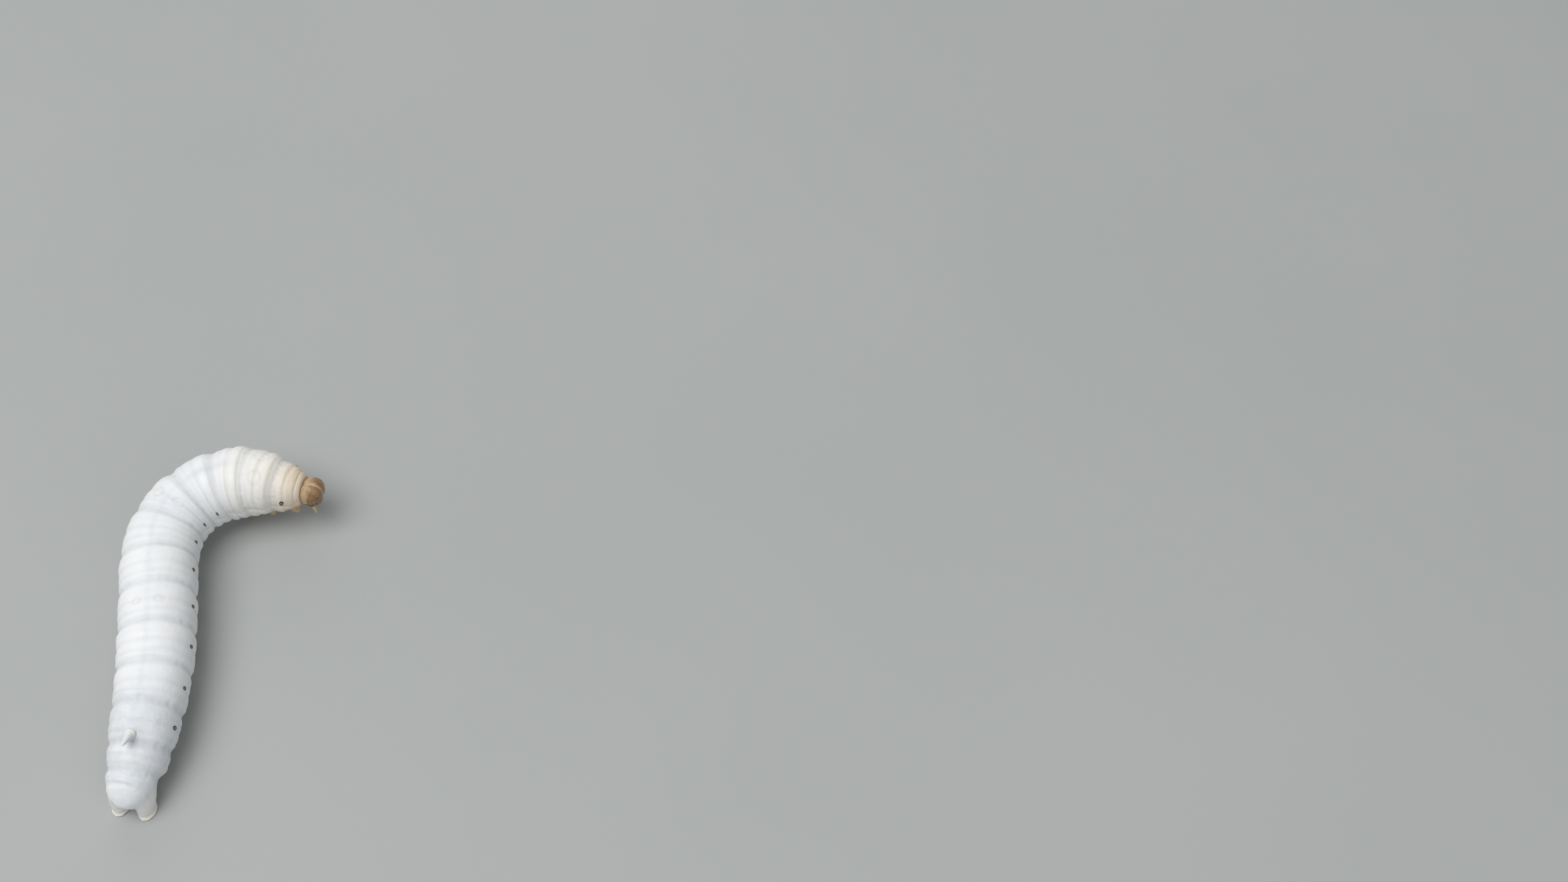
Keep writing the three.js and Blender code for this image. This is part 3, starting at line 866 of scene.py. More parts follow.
@dataclass
class Skin:
    """The one skin over all the rings, with its prolegs and claspers grown out of it.

    The creases and marks are tables: creases as (share of a ring, depth), marks as (ring, half the distance
    between the pair, radius). Depths and heights of the small folds are in millimetres.
    """

    body: BodyForm
    along: int = 420
    round: int = 150
    inset: float = 0.09
    seed: int = 11
    creases: tuple[tuple[float, float], ...] = (
        (0.28, 0.045), (0.5, 0.05), (0.64, 0.035), (0.78, 0.06), (0.9, 0.04),
    )
    crease_width: float = 0.11
    thorax_creasing: float = 1.9
    wander: float = 0.16
    unevenness: float = 0.030
    border_crease: float = 0.075
    border_gap: float = 0.62
    pad_height: float = 0.05
    dimple_depth: float = 0.11
    low_swelling: float = 0.08
    low_angle: float = -34.0
    flank_crease: float = 0.10
    under_crease: float = 0.12
    horn_mound: float = 0.38
    groove_wrinkles: float = 0.028
    grain: float = 0.010
    mean_radius: float = 4.6
    foot_mound: float = 0.42
    foot_spread: float = 1.9
    bend_ring: int = 4
    grey_ring: int = 9
    belly_ring: int = 6
    heart_rings: tuple[int, int] = (2, 11)
    marks: tuple[tuple[int, float, float], ...] = ((1, 1.9, 0.75), (4, 1.8, 0.62), (7, 1.5, 0.42))
    proleg_rings: range = range(3, 7)

    @property
    def horn_place(self) -> float:
        """Where the horn grows, along the spine."""
        spine = self.body.spine
        return spine.at([r.name for r in spine.rings].index("abdomen_8"), 0.72)

    def places(self) -> Array:
        """Returns places along the spine, closer together at the collar and the tip of the tail."""
        spine, collar_rows, tip_rows, tip_length = self.body.spine, 16, 26, 1.2
        curve = np.linspace(0, math.pi / 2, collar_rows + 1)[:-1]
        lip = spine.head_length + 0.02 + 0.7 * (1 - np.cos(curve))
        rest = self.along - collar_rows - tip_rows
        even = np.linspace(spine.head_length + 0.72, spine.end - tip_length, rest)
        length, power = self.body.tail_rounding, self.body.tail_power
        widest = math.sqrt(1 - (1 - tip_length / length) ** power)
        draw = np.linspace(widest, 0.004, tip_rows + 1)[1:]
        return np.concatenate([lip, even, spine.end - length * (1 - (1 - draw**2) ** (1 / power))])

    def fine_relief(self, s: Array, a: Array) -> Array:
        """Returns the small folds that the solids leave out.

        On each ring: a crease beside its front border, light folds that waver round the body, a dimple, a
        swelling and a crease on the flank, and soft pads on the back. Over all: a crease under the flank, the
        mound of the horn, wrinkles along the body inside the grooves, slow unevenness and a fine grain.
        """
        rng = np.random.default_rng(self.seed)
        spine, high = self.body.spine, elevation(a)
        back = 0.5 + 0.5 * np.sin(a)
        wander = self.wander * ripple(rng, a * 2.0, s * 0.05, 5, 0.6, 2.6)
        out = self.unevenness * ripple(rng, s * 1.3, a * 3.0, 9, 0.5, 1.6) - self.inset
        for i, ring in enumerate(spine.rings):
            strength = self.thorax_creasing if i < spine.thorax_rings else 1.0
            border = s - spine.starts[i] - self.border_gap + 0.5 * wander
            out -= self.border_crease * strength * bump(border, 0.12) * (0.3 + 0.7 * back)
            for share, deep in self.creases:
                line = spine.at(i, share) + wander * rng.uniform(0.5, 1.3) + rng.uniform(-0.1, 0.1)
                fade = 0.35 + 0.65 * smoothstep(0.5 + 0.6 * ripple(rng, a * 1.5, s * 0.01, 3, 0.6, 2.0))
                out -= deep * strength * bump(s - line, self.crease_width) * fade
            middle = s - spine.middles[i]
            pads = bump(np.cos(a) - 0.62, 0.2) + bump(np.cos(a) + 0.62, 0.2)
            out += self.pad_height * bump(middle, 0.9) * pads * back
            low = high - math.radians(self.low_angle)
            out -= self.dimple_depth * bump(s - spine.at(i, 0.45), 0.5) * bump(low, 0.13)
            out += self.low_swelling * bump(s - spine.at(i, 0.72), 0.8) * bump(low, 0.3)
            flank = high + math.radians(8) + 0.05 * np.sin((s - spine.starts[i]) / ring.length * TAU)
            out -= self.flank_crease * bump(flank, 0.06) * bump(middle, 0.42 * ring.length)
        under = high + math.radians(54) + 0.03 * np.sin(s * 1.1)
        out -= self.under_crease * bump(under, 0.07) * smoothstep((spine.end - 3.5 - s) / 2.0)
        horn = np.hypot(s - self.horn_place, spine.size(s, "width") / 2 * np.cos(a))
        out += self.horn_mound * bump(horn, 1.25) * (np.sin(a) > 0)
        inside = np.clip(self.body.groove(s), 0, 1)
        out += self.groove_wrinkles * inside * ripple(rng, a * 9.0, s * 0.2, 7, 1.0, 3.2)
        out += self.grain * ripple(rng, s * 4.2, a * 9.0, 10, 0.6, 1.7)
        edge = smoothstep((spine.end - s - 0.4) / 2.6) * smoothstep((s - spine.head_length + 0.4) / 0.6)
        return (out + self.inset) * edge - self.inset

    def masks(self, s: Array, a: Array) -> dict[str, Array]:
        """Returns the masks: cream front and belly, tan collar, grey bend and rear, painted fold shade, heart
        and marks.
        """
        spine, starts = self.body.spine, self.body.spine.starts
        rng = np.random.default_rng(self.seed + 1)
        soft = 0.5 + 0.5 * ripple(rng, a * 2.0, s * 0.5, 6, 0.6, 2.0)
        side = spine.size(s, "width") / 2 * np.cos(a)
        back = np.clip(np.sin(a), 0, 1)
        belly = smoothstep((-np.sin(a) - 0.3) / 0.45) * (1 - smoothstep((s - spine.end + 4.5) / 3.5))
        under = (0.35 + 0.5 * smoothstep((s - starts[self.belly_ring]) / 12.0)) * belly
        cream = np.maximum(1 - smoothstep((s - starts[0] - 2.5) / 12.0), under)
        collar = (1 - smoothstep((s - starts[0]) / 5.5)) * (0.65 + 0.35 * soft)
        rear = smoothstep((s - starts[self.grey_ring] - 2.0) / 5.0)
        rear = rear * (1 - 0.6 * smoothstep((s - spine.end + 3.5) / 3.0))
        bend = bump(s - spine.middles[self.bend_ring], 6.5) * smoothstep((back - 0.1) / 0.5)
        grey = np.maximum(rear, 0.34 * bend) * (0.55 + 0.45 * soft) * (1 - belly)
        # Painted bluish shade in the grooves between rings and along each ring's folds.
        fold = np.clip(self.body.groove(s), 0, 1) * (0.75 + 0.25 * soft)
        for i in range(len(spine.rings)):
            for share in self.body.folds:
                fold = np.maximum(fold, 0.35 * bump(s - spine.at(i, share), 0.3))
        fold = fold * smoothstep((s - starts[0] - 0.4) / 2.0) * smoothstep((spine.end - s) / 2.5)
        heart = bump(side, 0.55) * back * (0.72 + 0.28 * soft)
        first, last = self.heart_rings
        heart = heart * smoothstep((s - starts[first]) / 3.0) * (1 - smoothstep((s - starts[last]) / 2))
        heart = np.maximum(heart, 0.35 * bump(side, 1.5) * back * smoothstep((s - starts[first + 1]) / 6.0))
        mark = np.zeros_like(s)
        for ring, off, size in self.marks:
            for sign in (-1, 1):
                gap = np.hypot((side - sign * off) * 0.8, s - (spine.middles[ring] + 0.2))
                mark = np.maximum(mark, bump(gap - size, 0.17) * back * (0.5 + 0.5 * soft))
        return {"cream": cream, "collar": collar, "grey": grey, "fold": fold, "heart": heart, "mark": mark}

    def swelling(self, s: Array, a: Array) -> Array:
        """Returns a low mound round the root of each foot."""
        out = np.zeros_like(s)
        for foot in self.feet():
            gap = (np.mod(a - foot.turn + math.pi, TAU) - math.pi) * self.mean_radius
            out += self.foot_mound * bump(np.hypot(gap, (s - foot.s) * 0.85), self.foot_spread)
        return out * smoothstep((self.body.spine.end - s - 0.3) / 2.0)

    def cover(self, s: Array, a: Array, lift: Array | float = 0.0) -> Array:
        """Works out points on the skin, or a lift above it.

        Args:
            s: Places along the spine.
            a: Angles round it.
            lift: How far above the skin.

        Returns:
            Points (..., 3): the body's surface with the skin's folds and mounds, its tip drawn in by the inset.
        """
        forward, _, _ = self.body.spine.axes(s)
        draw = smoothstep((s - self.body.spine.end + 3.0) / 3.0)
        offset = self.fine_relief(s, a) + self.swelling(s, a) + lift
        return self.body.surface(s, a, offset) + forward * (self.inset * draw)[..., None]

    def feet(self) -> list[Foot]:
        """Returns the eight prolegs and the two claspers, left first, each side front to back."""
        spine, made = self.body.spine, []
        for side in Side:
            for ring in self.proleg_rings:
                made.append(Foot(self.body, PROLEG, float(spine.middles[spine.thorax_rings + ring - 1]), side))
            made.append(Foot(self.body, CLASPER, float(spine.middles[-1]) - 0.4, side))
        return made

    def weave(self) -> tuple[Array, Array, dict[str, Array]]:
        """Joins the body's grid and the feet in one closed surface.

        Points lie on a grid of places along the spine and angles round it, with a fan at each end. The block of
        faces round each foot is left out, and the foot's rings start from the block's own border.

        Returns:
            Points (n, 3), faces (m, 4) and the masks' values, by name.
        """
        places = self.places()
        rows, cols = len(places), self.round
        step = TAU / cols
        s, a = np.meshgrid(places, np.arange(cols) * step, indexing="ij")
        points, faces = [closed(self.cover(s, a))], [*fans(rows, cols)]
        masks = {**self.masks(s, a), "foot": np.zeros_like(s)}
        numbers = {key: [closed(value)] for key, value in masks.items()}
        total = rows * cols + 2
        keep = np.ones((rows - 1, cols), dtype=bool)
        for foot in self.feet():
            front, rear, less, more = foot.block()
            i0, i1 = np.searchsorted(places, (front, rear))
            j0, j1 = round(less / step), round(more / step)
            long, wide = i1 - i0, j1 - j0
            keep[i0:i1, np.arange(j0, j1) % cols] = False
            i = np.concatenate([np.arange(i0, i1), np.full(wide, i1), np.arange(i1, i0, -1), np.full(wide, i0)])
            j = np.concatenate([np.full(long, j0), np.arange(j0, j1), np.full(long, j1), np.arange(j1, j0, -1)])
            leg, values = foot.rings(self, places[i], j * step)
            index = total + np.arange(leg.shape[0] * leg.shape[1]).reshape(leg.shape[:2])
            index = np.concatenate([(i * cols + j % cols)[None], index])
            beside = np.roll(index, -1, axis=1)
            middle = np.full(len(i), index[-1, -1] + 1)
            faces.append(np.stack([beside[:-1], index[:-1], index[1:], beside[1:]], -1).reshape(-1, 4))
            faces.append(np.stack([beside[-1], index[-1], middle, middle], -1))
            points += [leg.reshape(-1, 3), leg[-1].mean(0)[None]]
            for key, value in values.items():
                numbers[key] += [value.ravel(), [value[-1].mean()]]
            total = int(index[-1, -1]) + 2
        faces.append(quads(*np.nonzero(keep), cols))
        return np.concatenate(points), np.concatenate(faces), {k: np.concatenate(v) for k, v in numbers.items()}

    def build(self, wardrobe: Wardrobe) -> None:
        """Makes the skin with its feet in one mesh, and the soles' hooks in another.

        Args:
            wardrobe: The finishes.
        """
        patch, hooks = Patchwork(), Patchwork()
        patch.add(*self.weave())
        for foot in self.feet():
            foot.hooks(hooks)
        names = [r.name for r in self.body.spine.rings]
        for side in Side:
            names += [f"proleg_{k}_{side.word}" for k in self.proleg_rings] + [f"anal_proleg_{side.word}"]
        wardrobe.dress(patch.build("skin"), "skin", names)
        wardrobe.dress(hooks.build("sole_hooks"), "hook")


@dataclass
class Spiracles:
    """The breathing holes: a dark oval rim round a paler sieve on the flank of nine rings."""

    skin: Skin
    rings: tuple[int, ...] = (0, 3, 4, 5, 6, 7, 8, 9, 10)
    angle: float = 6.0
    tall: float = 0.42
    wide: float = 0.24
    end_growth: float = 1.12
    rounds: int = 12
    sides: int = 28
    reach: tuple[float, float] = (1.12, 0.06)
    rim: float = 0.04
    hollow: float = 0.02
    seat: float = 0.035
    sink: float = 0.14

    def build(self, wardrobe: Wardrobe) -> None:
        """Makes all eighteen ovals in one mesh.

        Args:
            wardrobe: The finishes.
        """
        patch = Patchwork()
        for ring in self.rings:
            for side in Side:
                s = float(self.skin.body.spine.middles[ring]) - (0.1 if ring else -0.3)
                size = self.end_growth if ring in (self.rings[0], self.rings[-1]) else 1.0
                self.oval(patch, s, side.angle(self.angle), size)
        wardrobe.dress(patch.build("spiracles"), "spiracle")

    def oval(self, patch: Patchwork, s0: float, turn: float, size: float) -> None:
        """Adds one oval: a low lens over an ellipse, laid on the skin.

        Its height is a narrow hill at the rim less a shallow hollow in the middle, over r from the middle to
        the edge, where it sinks into the skin.

        Args:
            patch: Where it goes.
            s0: Its place along the spine.
            turn: Its angle round the body.
            size: A factor on its two half sizes.
        """
        r, b = np.meshgrid(np.linspace(*self.reach, self.rounds), around(self.sides), indexing="ij")
        s = s0 + size * self.wide * r * np.cos(b)
        a = turn + size * self.tall * r * np.sin(b) / self.skin.body.spine.radius(s0)
        high = self.rim * bump(r - 0.78, 0.16) - self.hollow * bump(r, 0.5) + self.seat
        high -= self.sink * smoothstep((r - 0.94) / 0.16)
        sieve = 1 - smoothstep((r - 0.3) / 0.24)
        under = self.skin.cover(s[:1], a[:1], -0.25)
        grid = np.concatenate([under, self.skin.cover(s, a, high)])
        patch.loft(grid, sieve=np.concatenate([0 * sieve[:1], sieve]))


@dataclass(frozen=True)
class LimbShape:
    """A tapering jointed limb: rows of (distance along, radius), its creased joints, and how it bends.

    It is dark past dark_from, and hooked past hook_from.
    """

    rows: tuple[tuple[float, float], ...]
    joints: tuple[float, ...]
    dark_from: float = math.inf
    bend: float = 0.0
    hook: float = 0.0
    hook_from: float = 0.0
    flatten: float = 0.97
    sides: int = 32
    steps: int = 90
    pinch: float = 0.10
    pinch_width: float = 0.05
    joint_tone: float = 0.12
    dark_fade: float = 0.2

    def grow(self, root: Array, axis: Array, way: Array) -> Patchwork:
        """Carries the limb along a bent line from its root.

        The middle line is root + axis * u + aft * (bend * u^2 + hook * h^2), where h is the way past the start
        of the hook; each ring is nearly round with the profile's radius, drawn in by a narrow hill at each
        joint.

        Args:
            root: Where it starts.
            axis: Its direction.
            way: The side to which it bends, which is made square to the axis.

        Returns:
            A patchwork with the limb.
        """
        table = np.array(self.rows)
        u = np.linspace(0, table[-1, 0], self.steps)
        r = np.interp(u, table[:, 0], table[:, 1])
        for _ in range(2):
            r[1:-1] = (r[:-2] + 2 * r[1:-1] + r[2:]) / 4
        pinch = sum(bump(u - joint, self.pinch_width) for joint in self.joints)
        r = (r * (1 - self.pinch * pinch))[:, None]
        aft = across(axis, way)
        bend = self.bend * u**2 + self.hook * np.maximum(u - self.hook_from, 0) ** 2
        centre = root + axis * u[:, None] + aft * bend[:, None]
        grid = tube(centre[:, None], unit(np.cross(axis, aft)), aft, r, self.flatten * r, around(self.sides))
        dark = smoothstep((u - self.dark_from) / self.dark_fade) + self.joint_tone * np.clip(pinch, 0, 1)
        patch = Patchwork()
        patch.loft(grid, dark=dark[:, None])
        return patch


@dataclass
class ThoracicLegs:
    """Three pairs of short jointed legs under the thorax, each with a small dark claw."""

    body: BodyForm
    angle: float = -62.0
    sink: float = 1.0
    shift: float = 0.2
    splay: float = 0.1
    rake: float = 0.28
    shape: LimbShape = LimbShape((
        (0, 1.0), (0.9, 0.97), (1.25, 0.91), (1.44, 0.81), (1.54, 0.71), (1.78, 0.74),
        (2.02, 0.69), (2.14, 0.61), (2.24, 0.52), (2.42, 0.54), (2.68, 0.48), (2.82, 0.4),
        (2.9, 0.31), (3.02, 0.29), (3.1, 0.19), (3.3, 0.12), (3.56, 0.03),
    ), (1.5, 2.18, 2.85), 3.0, -0.05, -1.1, 2.95)

    def build(self, wardrobe: Wardrobe) -> None:
        """Makes the six legs.

        Args:
            wardrobe: The finishes.
        """
        for i in range(self.body.spine.thorax_rings):
            for side in Side:
                s = self.body.spine.middles[i] + self.shift
                forward, left, up = self.body.spine.axes(s)
                root = self.body.surface(s, side.angle(self.angle), -self.sink)
                axis = unit(-up - left * self.splay * side.value + forward * self.rake)
                name = f"thoracic_leg_{i + 1}_{side.word}"
                leg = self.shape.grow(root, axis, forward).build(f"{name}_cuticle")
                wardrobe.dress(leg, "leg", [name])


@dataclass
class Horn:
    """The soft horn on the back of the eighth ring of the abdomen, with its tints' strengths."""

    skin: Skin
    shape: LimbShape = LimbShape((
        (0, 0.95), (1.2, 0.82), (1.7, 0.6), (2.4, 0.44), (3.2, 0.3), (3.6, 0.2), (3.78, 0.1),
    ), (1.55, 1.95, 2.35, 2.75), bend=-0.03)
    sink: float = 1.0
    rake: float = 0.75
    tints: tuple[tuple[str, float], ...] = (
        # The fold tint, painted crease shade on the skin, lies evenly over the horn.
        ("cream", 0.3), ("collar", 0.06), ("grey", 0.4), ("fold", 0.2), ("heart", 0.0), ("mark", 0.0),
        ("foot", 0.0),
    )

    def build(self, wardrobe: Wardrobe) -> None:
        """Makes the horn.

        Args:
            wardrobe: The finishes.
        """
        body, s = self.skin.body, self.skin.horn_place
        forward, _, up = body.spine.axes(s)
        root = body.surface(s, math.pi / 2, -self.sink)
        horn = self.shape.grow(root, unit(up - forward * self.rake), forward).build("horn_flesh")
        for key, value in self.tints:
            set_attribute(horn, key, np.full(len(horn.data.vertices), value))
        wardrobe.dress(horn, "skin", ["caudal_horn"])


@dataclass
class Head:
    """The capsule, mouthparts, feelers and simple eyes, hung nose down from the collar."""

    body: BodyForm
    width: float = 4.2
    height: float = 4.4
    depth: float = 3.8
    ahead: float = 1.15
    drop: float = 0.35
    pitch: float = -28.0
    suture: float = 0.16
    jaw_taper: float = 0.16
    flat_face: float = 0.9
    eye_turn: float = -24.0
    eye_across: float = 0.88
    eye_radius: float = 0.155
    eye_places: tuple[tuple[float, float], ...] = (
        (24, -6), (14, 10), (-4, 15), (-20, 8), (-27, -10), (2, -14),
    )
    eye_sink: float = 0.05
    dome_height: float = 0.9
    dome_rings: int = 12
    dome_sides: int = 20
    capsule_rows: int = 150
    capsule_sides: int = 190
    lump_rows: int = 32
    lump_sides: int = 40
    feeler_root: tuple[float, float, float] = (1.0, 1.28, -1.2)
    feeler_way: tuple[float, float, float] = (0.8, 0.42, 0.62)
    feeler: LimbShape = LimbShape((
        (0, 0.28), (0.48, 0.27), (0.54, 0.22), (0.8, 0.2), (0.86, 0.14), (1.1, 0.12), (1.26, 0.04),
    ), (0.52, 0.82), 1.2, sides=20, steps=48)
    seed: int = 5

    def __post_init__(self) -> None:
        """Works out the head's own directions and middle."""
        spine = self.body.spine
        forward, self.left, up = spine.axes(spine.head_length)
        pitch = math.radians(self.pitch)
        self.face = forward * math.cos(pitch) + up * math.sin(pitch)
        self.crown = np.cross(self.face, self.left)
        self.centre = spine.point(spine.head_length) + forward * self.ahead - up * self.drop

    def place(self, ahead: Array | float, left: Array | float, high: Array | float) -> Array:
        """Returns points from distances ahead, to the left and towards the crown."""
        return self.centre + np.stack([ahead, left, high], -1) @ np.stack([self.face, self.left, self.crown])

    def capsule(self, turn: Array, side: Array, offset: Array | float = 0.0) -> Array:
        """Works out points of the capsule, as on the solids.

        An ellipsoid with a cleft along its middle, narrower towards the jaws and a little flat in the face.

        Args:
            turn: Angle round the left-right line: 0 is ahead, a quarter turn the crown.
            side: Angle from the middle towards the left.
            offset: How far outside the surface.

        Returns:
            Points (..., 3).
        """
        left, inner = np.sin(side), np.cos(side)
        ahead, high = np.cos(turn) * inner, np.sin(turn) * inner
        cleft = self.suture * bump(left, 0.16) * np.where(high > -0.3, 1.0, 0.3)
        jaw = 1 - self.jaw_taper * smoothstep((-high - 0.25) / 0.7)
        flat = np.where(ahead > 0, self.flat_face, 1.0)
        return self.place(
            (self.depth / 2 - cleft + offset) * ahead * flat,
            (self.width / 2 + offset) * left * jaw,
            (self.height / 2 - cleft + offset) * high,
        )

    def build(self, wardrobe: Wardrobe) -> None:
        """Makes every piece of the head.

        Args:
            wardrobe: The finishes.
        """
        self.build_capsule(wardrobe)
        self.build_eyes(wardrobe)
        self.build_feelers(wardrobe)
        self.build_mouth(wardrobe)

    def build_capsule(self, wardrobe: Wardrobe) -> None:
        """Makes the capsule with its sutures, brow plate and pitted, mottled lobes.

        The offset over turn and side is less a groove along the upside-down Y of the sutures, less a shallow
        hollow in the plate between its arms, less a crease above the lip, plus seeded ripples.

        Args:
            wardrobe: The finishes.
        """
        sides = np.linspace(-math.pi / 2, math.pi / 2, self.capsule_rows + 2)[1:-1]
        angle, turn = np.meshgrid(sides, around(self.capsule_sides), indexing="ij")
        t = np.degrees(np.mod(turn + math.pi, TAU) - math.pi)
        side = np.sin(angle)
        off = np.abs(side)
        arm = np.clip((42 - t) / 80, 0, 1) * 0.52
        stem_zone = np.where((t > 40) | (t < -150), 1.0, 0.0)
        arm_zone = smoothstep((t + 46) / 8) * smoothstep((46 - t) / 6)
        stem = bump(side, 0.03) * stem_zone
        arms = bump(off - arm, 0.028) * arm_zone
        plate = smoothstep((arm - off) / 0.08) * arm_zone
        lip = bump(t + 44, 4.0) * smoothstep((0.62 - off) / 0.1)
        rng = np.random.default_rng(self.seed)
        rough = 0.012 * ripple(rng, t / 9.0, side * 9.0, 8, 0.6, 2.0)
        offset = rough - 0.02 - 0.075 * stem - 0.055 * arms - 0.05 * plate - 0.06 * lip
        seam = np.clip(0.8 * stem + 0.8 * arms + 0.45 * plate + 0.3 * bump(side, 0.12) * stem_zone, 0, 1)
        seam = np.maximum(seam, 0.55 * smoothstep((np.abs(t) - 105) / 30))
        # Darker over the face towards the mouth: partly the capsule's own darker brown, partly painted shade.
        shade = smoothstep((34 - t) / 62) * smoothstep((t + 130) / 40)
        shade = shade * (0.75 + 0.25 * ripple(rng, t / 14.0, side * 6, 5, 0.6, 2.0))
        net = smoothstep(ripple(rng, t / 5.5, side * 16.0, 12, 0.7, 2.2) - 0.2) * smoothstep((off - 0.1) / 0.2)
        dark = np.clip(0.85 * shade + 0.3 * net, 0, 1) * (1 - 0.8 * stem) * (1 - 0.7 * arms)
        patch = Patchwork()
        patch.loft(self.capsule(turn, angle, offset), seam=seam, dark=dark)
        wardrobe.dress(patch.build("head_capsule"), "capsule", ["head"])

    def lump(
        self,
        patch: Patchwork,
        place: Sequence[float],
        half: Sequence[float],
        lean: float = 0.0,
        shape: Callable[[Array, Array, Array], Array] | None = None,
        **numbers: float,
    ) -> None:
        """Adds a rounded plate or lump in the head's frame.

        Points are place + a * deep * cos(v) cos(w) + left * wide * sin(v) + c * tall * cos(v) sin(w), times
        the shape's own factor.

        Args:
            patch: Where it goes.
            place: Ahead, left and high of its middle.
            half: Half its depth, width and height.
            lean: How far it is tipped up, in degrees.
            shape: Gives a factor from the unit depth, width and height, or None.
            numbers: Constant values for its vertices.
        """
        rows = np.linspace(-math.pi / 2, math.pi / 2, self.lump_rows + 2)[1:-1]
        v, w = np.meshgrid(rows, around(self.lump_sides), indexing="ij")
        ball = np.stack([np.cos(v) * np.cos(w), np.sin(v), np.cos(v) * np.sin(w)])
        if shape:
            ball = ball * shape(*ball)
        tip = math.radians(lean)
        ahead = self.face * math.cos(tip) + self.crown * math.sin(tip)
        axes = np.stack([ahead, self.left, np.cross(ahead, self.left)])
        patch.loft(self.place(*place) + np.moveaxis(ball, 0, -1) * half @ axes, **numbers)

    def build_eyes(self, wardrobe: Wardrobe) -> None:
        """Makes six domes on each cheek, black and glossy with a paler rim.

        Args:
            wardrobe: The finishes.
        """
        p = np.linspace(math.pi / 2, 0.0, self.dome_rings)[:, None]
        r = self.eye_radius * np.sin(p)
        for side in Side:
            patch = Patchwork()
            for u, v in self.eye_places:
                turn = math.radians(self.eye_turn + u)
                seat = self.capsule(turn, side.value * (self.eye_across + math.radians(v)), -self.eye_sink)
                out = unit(seat - self.centre)
                one = unit(np.cross(out, self.crown))
                centre = seat + out * (self.eye_radius * self.dome_height * np.cos(p))
                grid = tube(centre[:, None], one, np.cross(out, one), r, r, around(self.dome_sides))
                patch.loft(grid, rim=smoothstep((p / (math.pi / 2) - 0.72) / 0.2))
            name = f"eye_{side.word}"
            wardrobe.dress(patch.build(f"{name}_domes"), "eye", [name])

    def build_feelers(self, wardrobe: Wardrobe) -> None:
        """Makes the two stubby feelers, each of three joints with a short bristle.

        Args:
            wardrobe: The finishes.
        """
        for side in Side:
            ahead, left, high = self.feeler_root
            root = self.place(ahead, left * side.value, high)
            ahead, left, down = self.feeler_way
            axis = unit(self.face * ahead + self.left * left * side.value - self.crown * down)
            name = f"antenna_{side.word}"
            feeler = self.feeler.grow(root, axis, self.crown).build(f"{name}_cuticle")
            wardrobe.dress(feeler, "leg", [name])

    def build_mouth(self, wardrobe: Wardrobe) -> None:
        """Makes the notched lip, the toothed jaws, and the lower lip with its spinneret and palps.

        Args:
            wardrobe: The finishes.
        """

        def notched(d: Array, l: Array, h: Array) -> Array:
            """Draws the lip's free edge in at its middle."""
            return 1 - 0.42 * bump(l, 0.17) * smoothstep((d - 0.25) / 0.6)

        def toothed(d: Array, l: Array, h: Array) -> Array:
            """Cuts small teeth into the jaw's biting edge."""
            return 1 - 0.13 * smoothstep((0.6 * d - 0.8 * h - 0.5) / 0.3) * np.abs(np.sin(l * 8.5))

        upper, lower = Patchwork(), Patchwork()
        self.lump(upper, (1.42, 0, -1.25), (0.55, 0.85, 0.5), -35, notched, seam=0.45, dark=0.35)
        wardrobe.dress(upper.build("upper_lip"), "capsule", ["labrum"])
        self.lump(lower, (0.05, 0, -2.0), (0.62, 0.8, 0.6), seam=0.7, dark=0.1)
        self.lump(lower, (0.3, 0, -2.6), (0.22, 0.2, 0.6), 10, seam=0.3, dark=0.3)
        for side in Side:
            jaw, sign = Patchwork(), side.value
            self.lump(jaw, (1.0, 0.52 * sign, -1.95), (0.5, 0.43, 0.62), -10, toothed, dark=0.3)
            name = f"mandible_{side.word}"
            wardrobe.dress(jaw.build(f"{name}_toothed"), "jaw", [name])
            self.lump(lower, (0.35, 0.5 * sign, -2.25), (0.3, 0.26, 0.42), 14, seam=0.6, dark=0.1)
            self.lump(lower, (0.5, 0.55 * sign, -2.58), (0.15, 0.13, 0.22), 14, seam=0.2, dark=0.5)
        wardrobe.dress(lower.build("lower_lip"), "capsule", ["labium"])


